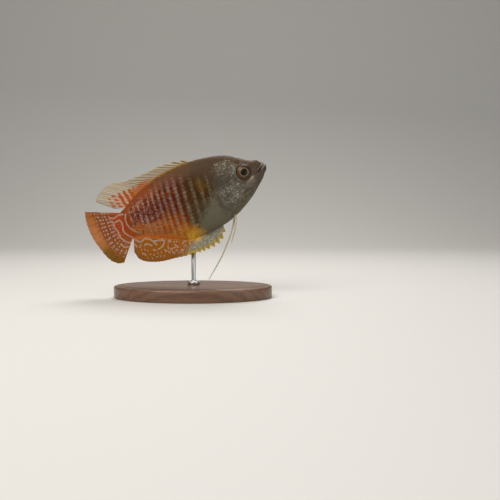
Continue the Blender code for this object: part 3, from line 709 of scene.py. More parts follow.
def body_finish(name, scaled):
    """The fish's colours, the same on its skin and its scales."""
    g, c = Graph(name), palette()
    back, up, side = g.parts(g.attribute("fish"))
    column, level, chance = g.parts(g.attribute("lattice"))
    cover, hind, mouth = g.parts(g.attribute("cheek"))
    along, across, plate = g.parts(g.attribute("plate"))
    stroke = g.parts(g.attribute("stroke"))[0]
    spot = g.join(back, up, side)
    cloud, drift, fine = g.uneven(spot, 0.3, 3.0), g.uneven(spot, 0.75), g.uneven(spot, 2.6)
    place = (back, up)

    # The bars run true in front and wander towards the tail
    unsteady = g.step(40, 52, back)
    bar = 0.5 - 0.5 * g.maths("COSINE", (column + drift * (0.4 + 1.1 * unsteady)) * math.pi)
    wide = 0.06 * g.step(33, 38, back) + 0.12 * g.step(40, 47, back) * g.step(4, -3, up)
    shine = g.step(0.38, 0.66, bar - 0.1 * level + wide + (chance - 0.5) * 0.4 * unsteady + fine * 0.12)
    dotted = 0.4 + 0.4 * g.step(46, 53, back) * g.step(-4, 2, up)
    shine = shine * (0.7 + 0.6 * chance) * (1 - dotted * g.step(0.45, 1.0, abs(across)))
    shine = shine * (0.5 + 0.5 * g.step(-0.5, 0.2, cloud + 0.6 * drift))
    inside = g.step(0.97, 0.83, along + 0.08 * across * across) * g.step(0.5, 0.64, along)
    shine = shine * (1 - plate * (0.55 + 0.3 * g.step(40, 34, back)) * (1 - inside))
    shine = shine * g.step(0.95, 0.55, level + cloud * 0.15) * g.step(61.0, 58.5, back)
    front = g.step(41, 31, back + 0.3 * up + drift * 2.0)
    shine = shine * g.step(22.6, 24.6, back + 0.1 * up)
    chest = up + 0.9 * (back - 30) + 5.7 + 2.0 * drift  # 0 on the line between the bars and the breast
    shine = shine * (1 - front * (1 - g.step(-2.5, 2.0, chest) * g.step(10, 5, up) * 0.9))

    to_hind = g.step(48, 58, back + 0.7 * g.most(up, 0.0) + cloud * 3)
    to_low = g.step(-0.02, -0.6, level + cloud * 0.25 + 0.3 * (chance - 0.5)) * g.step(34, 40, back + drift)
    maroon = g.zone(place, (51.5, 2.6), (6.8, 3.8), drift + 1.2 * (chance - 0.5), 1.9, 0.4)
    gold = g.zone(place, (37.4, -14.8), (4.4, 3.6), drift + 0.5 * (chance - 0.5) + fine * 0.3, 1.9, 0.0)
    glow = g.zone(place, (41.0, -12.4), (7.0, 3.8), drift + 0.5 * (chance - 0.5), 1.9, 0.2)
    ridge = g.step(0.5, 0.9, level + cloud * 0.12) * g.step(60, 54, back)
    warm = g.step(41, 50, back + 0.5 * cloud)
    dark, pale = c.bar_middle, c.pale_middle
    for amount, darker, paler in (
        (to_hind, c.bar_hind, c.pale_hind), (to_low, c.bar_low, c.pale_low),
        (maroon * 0.85, c.bar_maroon, c.pale_maroon), (front, c.bar_front, c.pale_front),
        (ridge * 0.75, g.mix(warm * 0.7, c.back, c.bar_hind), c.back),
        (glow * 0.6, g.mix(0.35, c.seam, c.belly_gold), g.mix(0.3, c.fin_salmon, c.belly_gold)),
        (gold * (0.35 + 0.6 * g.step(-0.5, 0.6, fine + drift)), c.belly_gold,
         g.mix(0.5, c.pale_low, c.belly_gold)),
    ):
        dark, pale = g.mix(amount, dark, darker), g.mix(amount, pale, paler)
    ochre = g.zone(place, (27.4, 4.6), (2.0, 3.4), drift, 1.8, 0.2)
    dark = g.mix(ochre * 0.35, dark, c.fin_ochre)
    dark = g.mix(g.step(0.5, 0.95, chance + 0.35 * drift) * g.step(35, 42, back) * 0.55, dark, c.bar_hind)
    dark = g.mix(g.step(0.4, 0.05, chance + 0.35 * cloud) * g.step(32, 40, back) * 0.3, dark, DEEP_RED)
    body = g.mix(shine * (1 - 0.2 * maroon) * (1 - 0.5 * gold), dark, pale)
    breast = g.step(40, 35, back) * g.step(1.5, -3.5, chest)
    body = g.mix(breast * (1 - gold * 0.65), body, c.breast)
    crest = g.step(0.94, 1.0, level + 0.06 * fine) * g.step(26, 31, back) * g.step(52, 46, back)
    body = g.mix(crest * 0.35, body, c.belly_gold)
    # A bright orange line low on the flank over the anal fin: partly the fish's own colour, partly painted
    # light that lifts the shade where body and fin meet
    seam = g.step(-0.78, -0.93, level) * g.step(42, 47, back)
    body = g.mix(seam * 0.85, body, c.seam)
    body = g.mix(g.step(61.4, 62.8, back - 0.05 * up) * 0.85, body, c.fin_red)
    marked = g.step(0.25, 0.7, stroke + 0.3 * g.uneven(spot, 5.0))
    body = g.mix(marked * (0.65 + 0.3 * fine), body, c.fin_lilac)

    # The head is plain, with fine shining flecks behind the eye and on the cheek
    nape = g.step(34, 24, back + drift) * g.step(4.0, 11.0, up + drift * 2)
    body = g.mix(nape, body, c.head)
    head = g.mix(g.step(1.0, 8.0, up - 0.1 * back + cloud * 2), c.cheek, c.head)
    head = g.mix(g.step(-3.0, -9.0, up + 0.3 * back - 2 + drift) * 0.8, head, c.breast)
    grains = g.step(0.42, 0.2, g.cells(spot, 1.0) + 0.14 * fine)
    grains = g.most(grains, g.step(0.4, 0.18, g.cells(spot, 1.9) + 0.1 * fine) * 0.7)
    behind_eye = g.zone(place, (16.2, 6.0), (5.0, 4.2), drift, 1.5, 0.2)
    flecked = g.most(behind_eye, g.zone(place, (16.8, -3.4), (5.6, 5.2), drift, 1.5, 0.2))
    head = g.mix(flecked * g.step(-0.5, 0.7, drift + 0.5 * cloud) * 0.2, head, c.fleck)
    head = g.mix(grains * flecked * g.step(-0.6, 0.1, cloud + drift * 0.7) * 0.62, head, c.fleck)
    head = g.mix(g.step(-0.1, 0.6, drift + fine * 0.4) * 0.35, head, c.bar_front)
    head = g.mix(g.step(-0.1, 0.6, fine - 0.6 * drift) * g.step(19, 12, back) * 0.1, head, c.blush_and_highlight)
    head = g.mix(g.step(11, 3, back) * g.step(-3, 2, up) * 0.4, head, c.bar_front)
    head = g.mix(g.zone(place, (18.8, 2.2), (4.4, 3.6), drift * 1.5) * 0.4, head, NAPE_SHADE)
    slant = (back * 0.94 - up * 0.35, back * 0.35 + up * 0.94)  # along the eye's lower front edge, and off it
    # Painted highlight: a pale pink crescent below the eye's front, laid over a pale patch of the skin
    for middle, reach, amount in (((8.5, 0.2), (2.3, 1.3), 0.14), ((7.7, 1.3), (1.9, 0.5), 0.3),
                                  ((6.6, 1.5), (0.9, 0.45), 0.6)):
        head = g.mix(g.zone(slant, middle, reach, fine * 0.3, 2.0, 0.1) * amount, head, c.blush_and_highlight)
    head = g.mix(g.zone(place, (3.4, 4.6), (1.5, 0.9), drift * 0.5) * 0.5, head, c.bar_front)
    body = g.mix(g.step(26.0, 19.5, back + 2 * drift), body, head)
    smudge = g.zone(place, (22.6, -4.6), (0.9, 2.4), drift, 2.0, 0.2)
    body = g.mix(smudge * 0.5, body, SMUDGE)
    # Painted rim light: a pale line along the throat's lower edge, and pale lips that are partly their own
    # colour and partly painted rim light
    lips = g.step(1.1, 0.3, abs(mouth)) * g.step(2.6, 0.4, back) * 0.35
    chin_rim_light = g.step(-0.975, -0.999, level) * g.step(26, 20, back) * 0.5
    body = g.mix(g.most(lips, chin_rim_light), body, c.throat)
    # Painted shade: dark in the mouth's slit and in the groove just behind the gill cover's hind edge
    mouth_shade = g.step(0.22, 0.06, abs(mouth)) * g.step(4.2, 3.2, back) * 0.5
    cover_gap_shade = g.step(0.4, 0.1, abs(cover - 0.22)) * hind * 0.06
    body = g.mix(g.most(mouth_shade, cover_gap_shade), body, CRACK_SHADE)
    body = g.mix(g.step(0.05, 0.6, fine) * 0.04, body, LIGHT_GRAIN)
    body = g.mix(g.step(0.0, -0.6, fine) * 0.125, body, DARK_GRAIN)
    if scaled:
        edge = g.step(0.8, 1.0, along + 0.1 * across * across)
        body = g.mix(edge * plate * (0.05 + 0.06 * g.step(24, 40, back)), body, SCALE_RIM)
        grooves = g.maths("SINE", across * 20.0) * 0.5 + g.maths("SINE", along * 36.0) * 0.3
        normal = g.bump(grooves + fine, 0.000012, 0.3)
        return g.surface(base_color=body, roughness=0.5 - 0.08 * shine, normal=normal,
                         specular_ior_level=0.07)
    normal = g.bump(g.noise(spot, 4.0, 3.0) + 0.35 * g.cells(spot, 2.6), 0.00004, 0.4)
    return g.surface(base_color=body, roughness=0.48, normal=normal, specular_ior_level=0.1)


def fin_finish(name, paint, see_through=False):
    """A fin's finish. paint gives its colour and how much it covers."""
    g = Graph(name)
    reading = {"fish": ("back", "up"), "fan": ("ray", "reach"), "rib": ("ridge", "length", "share"),
               "stroke": ("stroke",)}
    at = {}
    for attribute, keys in reading.items():
        at.update(zip(keys, g.parts(g.attribute(attribute))))
    spot = g.join(at["back"], at["up"], at["ray"] * 0.1)
    for key, scale in (("wobble", 0.55), ("fine", 1.6), ("grain", 5.0)):
        at[key] = g.uneven(spot, scale)
    at["joint"] = wave(g, at["length"] / RAY_JOINT + 0.1 * at["grain"], 0.7, 0.97) * at["ridge"]
    colour, cover = paint(g, palette(), at)
    colour = g.mix(at["ridge"] * 0.08, colour, palette().fin_cream)
    colour = g.mix(at["joint"] * 0.15, colour, JOINT_SHADE)
    colour = g.mix(g.step(0.1, 0.8, at["grain"]) * 0.08, colour, SCALE_RIM)
    look = {"base_color": colour, "roughness": 0.5, "specular_ior_level": 0.05}
    if see_through:
        return g.surface(alpha=cover, **look)
    folds = g.noise(g.join(at["ray"] * 3.0, at["length"] * 0.6, at["share"]), 2.0, 3.0)
    normal = g.bump(folds - at["joint"] * 0.5, 0.00005, 0.35)
    return g.surface(normal=normal, subsurface_weight=0.12, subsurface_scale=0.0003,
                     subsurface_radius=(1.0, 0.7, 0.5), **look)


def ragged(g, mark, at):
    """A mark with the uneven edge of small colour cells."""
    return g.step(0.25, 0.65, mark + 0.3 * at["grain"])


def wave(g, value, low, high):
    """1 where value is near a whole number, and 0 halfway between."""
    return g.step(low, high, g.maths("COSINE", value * (2 * math.pi)))


def paint_tail(g, c, at):
    ray, reach, length, share = (at[key] for key in ("ray", "reach", "length", "share"))
    wobble, fine = at["wobble"], at["fine"]
    seams = wave(g, ray + 0.5 + wobble * 0.15, 0.4, 1.0) * g.step(5.0, 6.6, length + 0.8 * wobble)
    fade = g.step(0.83, 0.66, reach - 0.1 * g.step(0.25, 0.0, share) + wobble * 0.06)
    low = g.step(0.52, 0.8, share + wobble * 0.05)
    beads = wave(g, ray + 0.5 + 0.12 * wobble, -0.3, 0.7)
    rows = wave(g, length / 1.45 + 0.2 * wobble, -0.1, 0.8)
    rows = rows * g.step(4.6, 5.6, length + 1.5 * g.step(0.3, 0.7, share))
    lines = at["stroke"] * (1 - 0.7 * g.step(5.4, 6.6, length) * (1 - beads))
    pale = ragged(g, g.most(lines, g.most(seams * 0.3, rows * beads * 0.85)), at) * fade
    cells = g.mix(g.step(3.6, 7.5, length + wobble), c.fin_red, c.fin_brown)
    cells = g.mix(low * 0.6, cells, g.mix(0.5, c.fin_orange, c.fin_ochre))
    plain = g.mix(low * g.step(0.45, 0.7, reach), c.fin_salmon, c.fin_ochre)
    high = g.step(0.22, 0.0, share + 0.05 * wobble) * 0.5
    plain = g.mix(high, plain, c.fin_brown)
    plain = g.mix(g.step(0.42, 0.2, share + 0.1 * wobble) * 0.5, plain, c.fin_orange)
    colour = g.mix(pale * (0.7 + 0.3 * fine), g.mix(fade, plain, cells), c.fin_lilac)
    colour = g.mix(wave(g, ray * 2.0, 0.0, 1.0) * (1 - fade) * 0.125, colour, c.fin_brown)
    colour = g.mix(g.step(0.2, 0.7, fine) * 0.2, colour, c.fin_salmon)
    return g.mix(g.step(0.03, 0.008, share) * 0.7 * g.step(0.7, 0.5, reach), colour, c.fin_cream), 1.0


def paint_dorsal(g, c, at):
    ray, reach, length, share = (at[key] for key in ("ray", "reach", "length", "share"))
    wobble, fine, back, up = at["wobble"], at["fine"], at["back"], at["up"]
    soft = g.step(0.62, 0.8, share + 0.03 * wobble)
    between = wave(g, ray + 0.5, -0.35, 0.5) * (1 - soft)
    colour = g.mix(between * (0.85 - 0.5 * g.step(0.75, 1.0, reach)), c.fin_cream, c.fin_dark)
    colour = g.mix(soft * 0.35, colour, c.fin_lilac)
    colour = g.mix(wave(g, ray * 2.0, 0.0, 1.0) * soft * 0.45, colour, c.fin_dark)
    streaks = wave(g, ray * 2.0 + 0.5 + 0.1 * at["grain"], 0.2, 0.9) * g.step(-0.3, 0.4, fine)
    colour = g.mix(streaks * soft * 0.6, colour, c.throat)
    base = g.step(4.4, 2.2, length + wobble * 0.8)
    colour = g.mix(base * 0.85 * g.step(42, 51, back) * g.step(58, 55, back), colour, c.bar_low)
    foot = g.step(1.9, 0.8, length) * 0.7 * g.step(50, 44, back)
    colour = g.mix(foot, colour, g.mix(0.3, c.back, c.belly_gold))
    strips = wave(g, (back - 57.3 - 0.2 * (up - 10)) / 2.35 + wobble * 0.12, -0.5, 0.2)
    breaks = wave(g, ray + wobble * 0.15, -0.3, 0.5) * g.step(59, 62, back)
    red = strips * (1 - breaks) * g.step(53.0, 54.5, back + 0.1 * (up - 10))
    red = red * g.step(67.6, 65.0, back + wobble) * g.step(15.4, 13.6, up + wobble * 0.7)
    red = ragged(g, red, at)
    tint = g.mix(g.step(61, 65, back) * 0.5, c.fin_strip, c.fin_salmon)
    tint = g.mix(g.step(55, 58, back), c.bar_low, tint)
    flush = g.step(68, 60, back) * g.step(54, 58, back) * g.step(15, 12, up)
    colour = g.mix(flush * 0.3, colour, c.fin_salmon)
    colour = g.mix(red * 0.95, colour, tint)
    return g.mix(g.step(0.1, 0.7, fine) * 0.15 * (1 - red), colour, c.fin_cream), 1.0


def paint_anal(g, c, at):
    ray, reach, length, share = (at[key] for key in ("ray", "reach", "length", "share"))
    wobble, fine, back = at["wobble"], at["fine"], at["back"]
    hind = g.step(0.43, 0.6, share + wobble * 0.06 + 0.14 * (1 - reach))
    flap = g.step(0.55, 0.75, reach - 0.4 * share) * g.step(0.6, 0.46, share)
    colour = g.mix(g.step(-0.2, 0.5, fine) * 0.5, c.fin_grey, c.throat)
    front = g.step(0.4, 0.05, reach + 0.1 * wobble) * g.step(0.32, 0.16, share)
    colour = g.mix(front * 0.7, colour, c.breast)
    gilt = g.step(0.42, 0.0, reach + 0.2 * wobble) * g.step(0.2, 0.34, share) * g.step(0.6, 0.45, share)
    colour = g.mix(gilt * 0.85, colour, c.belly_gold)
    colour = g.mix(flap * 0.85, colour, c.fin_yellow)
    eye = wave(g, ray - 0.3, 0.35, 0.9) * g.step(0.62, 0.74, reach) * g.step(0.97, 0.85, reach)
    colour = g.mix(eye * g.step(0.42, 0.3, share) * 0.5, colour, c.breast)
    orange = g.mix(g.step(0.55, 0.95, reach), c.fin_orange, g.mix(0.4, c.fin_orange, c.fin_ochre))
    orange = g.mix(g.step(0.0, 0.8, wobble) * 0.3, orange, c.bar_low)
    dots = g.step(0.4, 0.24, g.cells(g.join(back * 0.9, at["up"] * 0.9, 0.0), 1.0) + 0.06 * fine)
    dots = dots * g.step(53, 50, back) * g.step(0.92, 0.7, reach)
    orange = g.mix(ragged(g, g.most(at["stroke"], dots), at) * (0.75 + 0.25 * fine), orange, c.fin_lilac)
    # The same bright line on the fin's root: partly its own colour, partly painted light over the shade
    # between fin and body
    orange = g.mix(g.step(1.3, 0.5, length) * 0.8, orange, c.seam)
    colour = g.mix(hind, colour, orange)
    return g.mix(wave(g, ray, 0.5, 1.0) * 0.12, colour, c.fin_dark), 1.0


def paint_clear(g, c, at):
    colour = g.mix(at["ridge"] * 0.25, c.breast, c.fin_cream)
    return colour, 0.03 + 0.05 * at["ridge"] + 0.6 * g.step(0.12, 0.02, at["reach"])


def feeler_finish():
    g, c = Graph("feeler skin"), palette()
    along, tip = g.parts(g.attribute("fan"))[:2]
    spot = g.join(along * 60.0, 0.0, 0.0)
    beads = g.maths("SINE", along * 420.0)
    colour = g.mix(g.step(0.2, 0.0, along) * 0.3, c.fin_cream, c.breast)
    colour = g.mix(g.step(0.93, 0.99, along) * tip, colour, BRIGHT_TIP)
    colour = g.mix(g.step(0.55, 0.75, g.noise(spot, 1.0, 2.0)) * 0.3, colour, c.bar_hind)
    return g.surface(base_color=colour, roughness=0.4, coat_weight=0.3, normal=g.bump(beads, 0.00002, 0.4),
                     subsurface_weight=0.3, subsurface_scale=0.0006)


def eye_finish():
    g, c = Graph("eye"), palette()
    radius, cosine, sine = g.parts(g.attribute("fan"))
    streaks = g.uneven(g.join(cosine * 12.0, sine * 12.0, radius * 0.7), 1.6, 3.0)
    patches = g.uneven(g.join(cosine * 1.5, sine * 1.5, radius), 0.9)
    colour = g.mix(g.step(-0.2, 0.6, streaks + patches) * 0.6, c.iris, IRIS_MOTTLE)
    colour = g.mix(g.step(0.1, 0.8, -streaks) * g.step(2.9, 2.2, radius) * 0.14, colour, c.blush_and_highlight)
    colour = g.mix(g.step(0.2, 1.0, cosine * 0.7 + sine * 0.6) * 0.22, colour, c.bar_hind)
    colour = g.mix(g.step(-0.2, 0.7, sine * 0.4 - cosine * 0.8) * 0.55, colour, IRIS_SHADE)
    pale_arc = g.step(0.22, 0.05, abs(radius - 2.55)) * g.step(-0.2, -0.8, sine) * 0.35
    colour = g.mix(pale_arc, colour, c.head)
    ring = g.step(0.24, 0.02, abs(radius - 1.68 - 0.1 * streaks))
    colour = g.mix(ring * (0.75 + 0.15 * sine + 0.3 * patches + 0.25 * streaks), colour, c.iris_gold)
    colour = g.mix(g.step(2.75, 3.05, radius), colour, EYE_RIM)
    colour = g.mix(g.step(1.56, 1.46, radius), colour, PUPIL)
    return g.surface(base_color=colour, roughness=0.35, metallic=ring * 0.4, coat_weight=0.4,
                     coat_roughness=0.05, coat_ior=1.33, specular_ior_level=0.15)


def wood_finish():
    g, c = Graph("base wood"), palette()
    x, y, z = g.parts(g.attribute("stand"))
    spot = g.join(x * 0.05, y * 0.55, z * 0.55)
    warp = g.noise(spot, 1.3, 2.0)
    rings = g.maths("SINE", (y + z * 0.7) * 2.1 + warp * 9.0) * 0.5 + 0.5
    pores = g.step(0.6, 0.72, g.noise(g.join(x * 0.12, y * 3.0, z * 3.0), 1.6, 2.0))
    colour = g.mix(rings * rings * 0.6, c.wood, c.wood_dark)
    colour = g.mix(pores * 0.5, colour, c.wood_dark)
    return g.surface(base_color=colour, roughness=0.38 + 0.15 * pores, coat_weight=0.35, coat_roughness=0.25,
                     normal=g.bump(1 - pores, 0.00004, 0.4))


def steel_finish():
    g = Graph("rod steel")
    x, y, z = g.parts(g.attribute("stand"))
    lines = g.noise(g.join(x * 0.4, y * 0.4, z * 14.0), 1.5, 2.0)
    return g.surface(base_color=STEEL, metallic=1.0, roughness=0.24 + 0.16 * lines)


def plain_finish(name, colour, roughness):
    return Graph(name).surface(base_color=colour, roughness=roughness)


# Pieces


def stroke_mask(back, up):
    """1 on the pale strokes and dots, 0 away from them."""
    here = np.stack([back, up], -1)
    mask = np.zeros(back.shape)
    for stroke in STROKES:
        line = np.array(stroke * 2 if len(stroke) == 1 else stroke, float)
        if len(stroke) > 2:
            line = track([(k, *spot) for k, spot in enumerate(stroke)], np.linspace(0, len(stroke) - 1, 24))
        for a, b in zip(line[:-1], line[1:]):
            ab = b - a
            t = np.clip(((here - a) @ ab) / max(ab @ ab, 1e-9), 0, 1)
            near = np.linalg.norm(here - a - t[..., None] * ab, axis=-1)
            mask = np.maximum(mask, step(0.5, 0.14, near))
    return mask


def skin_attributes(points):
    """The attributes that the body's finish reads, for points of the fish's frame."""
    back, up = points.T[:2]
    top, bottom = curve(BACK_LINE, back), curve(BELLY_LINE, back)
    level = np.clip((2 * up - top - bottom) / (top - bottom), -1, 1)
    cover, hind = cover_distance(back, up)
    along = (MOUTH_CORNER - MOUTH_FRONT).normalized()
    mouth = (up - MOUTH_FRONT.y) * along.x + (back - MOUTH_FRONT.x) * -along.y
    return {"fish": points, "lattice": stack(Surface.column(back, up), level, 0.5),
            "cheek": stack(np.clip(cover, -6, 6), hind, np.clip(mouth, -6, 6)),
            "plate": stack(0 * back, 0.0, 0.0), "stroke": stack(stroke_mask(back, up), 0.0, 0.0)}


def build_skin():
    skin = surface()
    points = skin.points.reshape(-1, 3)
    add_piece("skin", points, ring_faces(len(skin.backs), AROUND), body_finish("fish skin", False),
              ("head", "lower_jaw", "gill_cover_left", "gill_cover_right", "torso", "tail_stalk"),
              skin_attributes(points))


PLATE_ALONG = 5
PLATE_ACROSS = 8
SCALE_ROWS = 16  # above and below the flank's middle
SETTLING_ROUNDS = 6
PATCH = 0.003  # size of a scale's patch on the map
SCALE_DROOP = 0.025  # how far the sides of a scale bend down
SCALE_SINK = 0.1  # how deep a scale's front lies in the skin


def scale_places(side):
    """Column, back, height along the skin, pitches and small differences of one side's scales."""
    skin = surface()
    first, last = int(Surface.column(8.5, 6.0)), int(Surface.column(BODY_END + STALK_OVER_FIN, 0.0))
    lattice = np.meshgrid(np.arange(first, last), np.arange(-SCALE_ROWS, SCALE_ROWS + 1))
    column, row = (grid.ravel().astype(float) for grid in lattice)
    rng = np.random.default_rng(sizes().scale_seed + side)
    chance, jitter = rng.random(column.size), rng.normal(0, 1, (4, column.size))
    row += 0.5 * (column % 2)
    base = Surface.column_back(column)
    back = base
    for _ in range(SETTLING_ROUNDS):
        pitch_across = curve(ROW_PITCH, back)
        arc = row * pitch_across
        i, j = skin.locate(back, arc, side)
        up = skin.sample(skin.points, i, j)[:, 1]
        back = base - BAR_LEAN * up
    pitch = (Surface.column_back(column + 1) - Surface.column_back(column - 1)) / 2
    top, low = np.interp(back, skin.backs, skin.top_arc), np.interp(back, skin.backs, skin.low_arc)
    cover, hind = cover_distance(back + 0.5 * pitch, up)
    bare = 9.6 + 0.06 * (up - 2) ** 2 * (up < 2)
    kept = (arc > low + 0.12 * pitch_across) & (arc < top - 0.12 * pitch_across)
    kept &= back < BODY_END + STALK_OVER_FIN - 1.2 - 0.09 * up**2
    kept &= (back > bare) & (np.hypot(back - 1.5 * pitch - EYE.x, up - EYE.y) > 3.7)
    kept &= (np.hypot(back - EYE.x, up - EYE.y) > 4.4) & ~((cover > -0.6) & (cover < 0.5) & (hind > 0.3))
    under = (cover > 0) & (hind > 0.3)
    return [values[kept, None, None]
            for values in (column, back, arc, pitch, pitch_across, under, chance, *jitter)]


def build_coat(name, side, finish):
    """Overlapping scales over one side, as thin closed plates that follow the skin."""
    skin, size = surface(), sizes()
    column, back, arc, pitch, pitch_across, under, chance, *jitter = scale_places(side)
    u, v = np.meshgrid(np.linspace(0, 1, PLATE_ALONG) ** 0.75, np.linspace(-1, 1, PLATE_ACROSS),
                       indexing="ij")
    length = 2.1 * pitch * (1 + 0.03 * jitter[0])
    rear = length * (0.6 + 0.4 * np.sqrt(1 - 0.94 * v**2))
    backs = back + 0.62 * pitch - length + 0.03 * jitter[1] + u * rear
    arcs = arc + v * 0.6 * pitch_across * (1 + 0.03 * jitter[2]) + 0.02 * jitter[3]
    i, j = skin.locate(backs, arcs, side)
    on_skin, out = skin.sample(skin.points, i, j), unit(skin.sample(skin.normals, i, j))
    rough = blend(0.6, 1.0, step(16, 42, back))  # the scales lie smoother towards the head
    lift = rough * (blend(-SCALE_SINK, size.scale_lift / MM, u) - SCALE_DROOP * v**2)
    thick = blend(size.scale_thickness, size.scale_thickness / 2, u) / MM
    near = cover_distance(on_skin[..., 0], on_skin[..., 1])[0]
    lift = lift - 0.5 * step(0.5, 0.1, near) * under  # fronts go under the gill cover's edge
    upper = on_skin + out * lift[..., None]
    lower = on_skin + out * (lift - thick)[..., None]
    number, count = len(column), u.size
    points = np.stack([upper, lower], axis=1).reshape(-1, 3)

    plate = np.array(grid_faces(*u.shape, count) + rim_faces(*u.shape) + grid_faces(*u.shape, flip=True))
    faces = (plate[None] + 2 * count * np.arange(number)[:, None, None]).reshape(-1, 4)

    # Each scale has its own patch of the map, at its front's place on the body rolled flat
    patch = np.stack([u - 0.5, v / 2], -1) * PATCH
    patches = np.stack([patch, patch * 1.2])[None]
    root = np.stack([(backs[:, 0, 3] + 4) / 74, 0.5 + arc[:, 0, 0] / 46], -1)
    texture = (root[:, None, None, None] + patches).reshape(-1, 2)

    marks = skin_attributes(np.stack([on_skin, on_skin], axis=1).reshape(-1, 3))
    whole = (number, 2, *u.shape)
    marks["lattice"][:, 0] = np.broadcast_to(column[:, None], whole).ravel()
    marks["lattice"][:, 2] = np.broadcast_to(chance[:, None], whole).ravel()
    marks["plate"] = stack(*(np.broadcast_to(values, whole).ravel() for values in (u, v)), 1.0)
    add_piece(name, points, faces.tolist(), finish, attributes=marks, uv=texture,
              crisp=True)


def closed_sheet(middle, across, half):
    """Points and faces of a closed sheet round a grid of points, that thick to each side."""
    rows, columns = middle.shape[:2]
    faces = grid_faces(rows, columns, flip=True) + rim_faces(rows, columns)
    faces += grid_faces(rows, columns, rows * columns)
    points = np.concatenate([(middle + across * half[..., None]).reshape(-1, 3),
                             (middle - across * half[..., None]).reshape(-1, 3)])
    return points, faces


def fin_ribs(ray, reach, spacing, soft):
    """How much a place lies on a ray, 0 to 1. Rays fork twice where soft is 1."""
    off = ray - np.round(ray)
    spread = 0.24 * np.clip((reach - 0.4) / 0.6, 0, 1) * soft
    off = np.abs(np.abs(off) - spread)
    again = 0.11 * np.clip((reach - 0.65) / 0.35, 0, 1) * soft
    off = np.abs(off - again)
    return bell(off * spacing, blend(0.24, 0.13, reach))


def fin_marks(middle, fan, rib):
    """The attributes that a fin's finish reads, for both faces of a sheet."""
    flat = middle.reshape(-1, 3)
    marks = {"fish": flat, "fan": fan.reshape(-1, 3), "rib": rib.reshape(-1, 3),
             "stroke": stack(stroke_mask(flat[:, 0], flat[:, 1]), 0.0, 0.0)}
    return {key: np.concatenate([values, values]) for key, values in marks.items()}


def half_thickness(ribs, reach, share=1.0):
    """Half a fin's thickness, on its rays and between them."""
    membrane, thick = sizes().membrane / MM / 2 * share, sizes().ray / MM / 2 * share
    half = membrane + (blend(thick, membrane * 1.3, reach) - membrane * 0.9) * ribs
    return blend(half, 0.035, step(0.93, 1.0, reach))


def build_fin(name, paint, rays, pitch, per_ray, rows, root, margin, sway, notches, soft_from):
    """An unpaired fin in the fish's middle plane.

    pitch is the first and the last spacing of the rays at the root, notches gives the depth of the
    margin's notches over the fin's share, and the rays fork from the share soft_from on.
    """
    steps = np.linspace(*pitch, rays - 1)
    places = np.concatenate([[0], np.cumsum(steps)]) / steps.sum()
    ray = np.linspace(0, rays - 1, (rays - 1) * per_ray + 1)
    share = np.interp(ray, np.arange(rays), places)
    ray, reach = np.meshgrid(ray, np.linspace(0, 1, rows), indexing="ij")
    share = np.repeat(share[:, None], rows, axis=1)
    start, end = root(share), track(margin, share)
    length = np.linalg.norm(end - start, axis=-1)
    soft = step(soft_from - 0.03, soft_from + 0.03, share)
    behind = ray - np.floor(ray)  # each point's skin falls away behind it and rises again to the next
    torn = np.where(behind < 0.72, (behind / 0.72) ** 1.3, np.clip((1 - behind) / 0.28, 0, 1) ** 0.8)
    scallop = (1 - np.cos(4 * np.pi * ray)) / 2
    notch = np.interp(share, *notches) * blend(torn, 0.6 * torn + 0.4 * scallop, soft)
    flat = start + (end - start) * (reach * (1 - notch / length))[..., None]
    spacing = np.linalg.norm(np.gradient(flat, axis=0), axis=-1) * per_ray
    ribs = fin_ribs(ray, reach, spacing, soft)
    side = sway(share, reach) + 0.1 * np.cos(np.pi * ray) * reach
    middle = np.concatenate([flat, side[..., None]], axis=-1)
    points, faces = closed_sheet(middle, np.array([0.0, 0.0, 1.0]), half_thickness(ribs, reach))
    marks = fin_marks(middle, stack(ray, reach, 0.0), stack(ribs, reach * length, share))
    add_piece(name, points, faces, fin_finish(name + " fin skin", paint), (name + "_fin",), marks)


def dorsal_root(share):
    back = blend(*DORSAL_ROOT, share)
    return stack(back, curve(BACK_LINE, back) - 0.5)


def anal_root(share):
    back = blend(*ANAL_ROOT, share)
    return stack(back, curve(BELLY_LINE, back) + 0.5)


def tail_root(share):
    return stack(BODY_END - 0.6, blend(*TAIL_ROOT, share))


def dorsal_sway(share, reach):
    return 0.9 * share**2 * reach**1.5


def anal_sway(share, reach):
    return -0.8 * share * reach**1.5 * np.sin(5 * share)


def tail_sway(share, reach):
    return 1.2 * reach**2 * np.sin(2.6 * share + 0.6)


def build_pectoral(name, replaced, side, finish):
    """A fan that stands out a little from the flank."""
    ray, reach = np.meshgrid(np.linspace(0, PECTORAL_RAYS - 1, (PECTORAL_RAYS - 1) * 12 + 1),
                             np.linspace(0, 1, 44), indexing="ij")
    share = ray / (PECTORAL_RAYS - 1)
    turn = blend(PECTORAL_SPREAD / 2, -PECTORAL_SPREAD / 2, share) - PECTORAL_DROOP - 0.1 * reach**2
    length = PECTORAL_LENGTH * (1 - 0.32 * np.abs(2 * share - 0.85) ** 2.2)
    length = length - 0.18 * (1 - np.cos(2 * np.pi * ray)) / 2
    rise = PECTORAL_UP + PECTORAL_ROOT * (0.5 - share)
    rest = flank(PECTORAL_BACK, rise) - 0.5
    run = length * reach * np.cos(turn)
    middle = stack(PECTORAL_BACK + run * math.cos(PECTORAL_FLARE), rise + length * reach * np.sin(turn),
                   side * (rest + run * math.sin(PECTORAL_FLARE) + 0.12 * np.cos(np.pi * ray) * reach))
    across = np.array([-math.sin(PECTORAL_FLARE), 0.0, side * math.cos(PECTORAL_FLARE)])
    spacing = blend(PECTORAL_ROOT, PECTORAL_SPREAD * PECTORAL_LENGTH, reach) / (PECTORAL_RAYS - 1)
    ribs = fin_ribs(ray, reach, spacing, 1.0)
    points, faces = closed_sheet(middle, across, half_thickness(ribs, reach, 0.75))
    marks = fin_marks(middle, stack(ray, reach, 0.0), stack(ribs, reach * length, share))
    add_piece(name, points, faces, finish, (replaced,), marks)


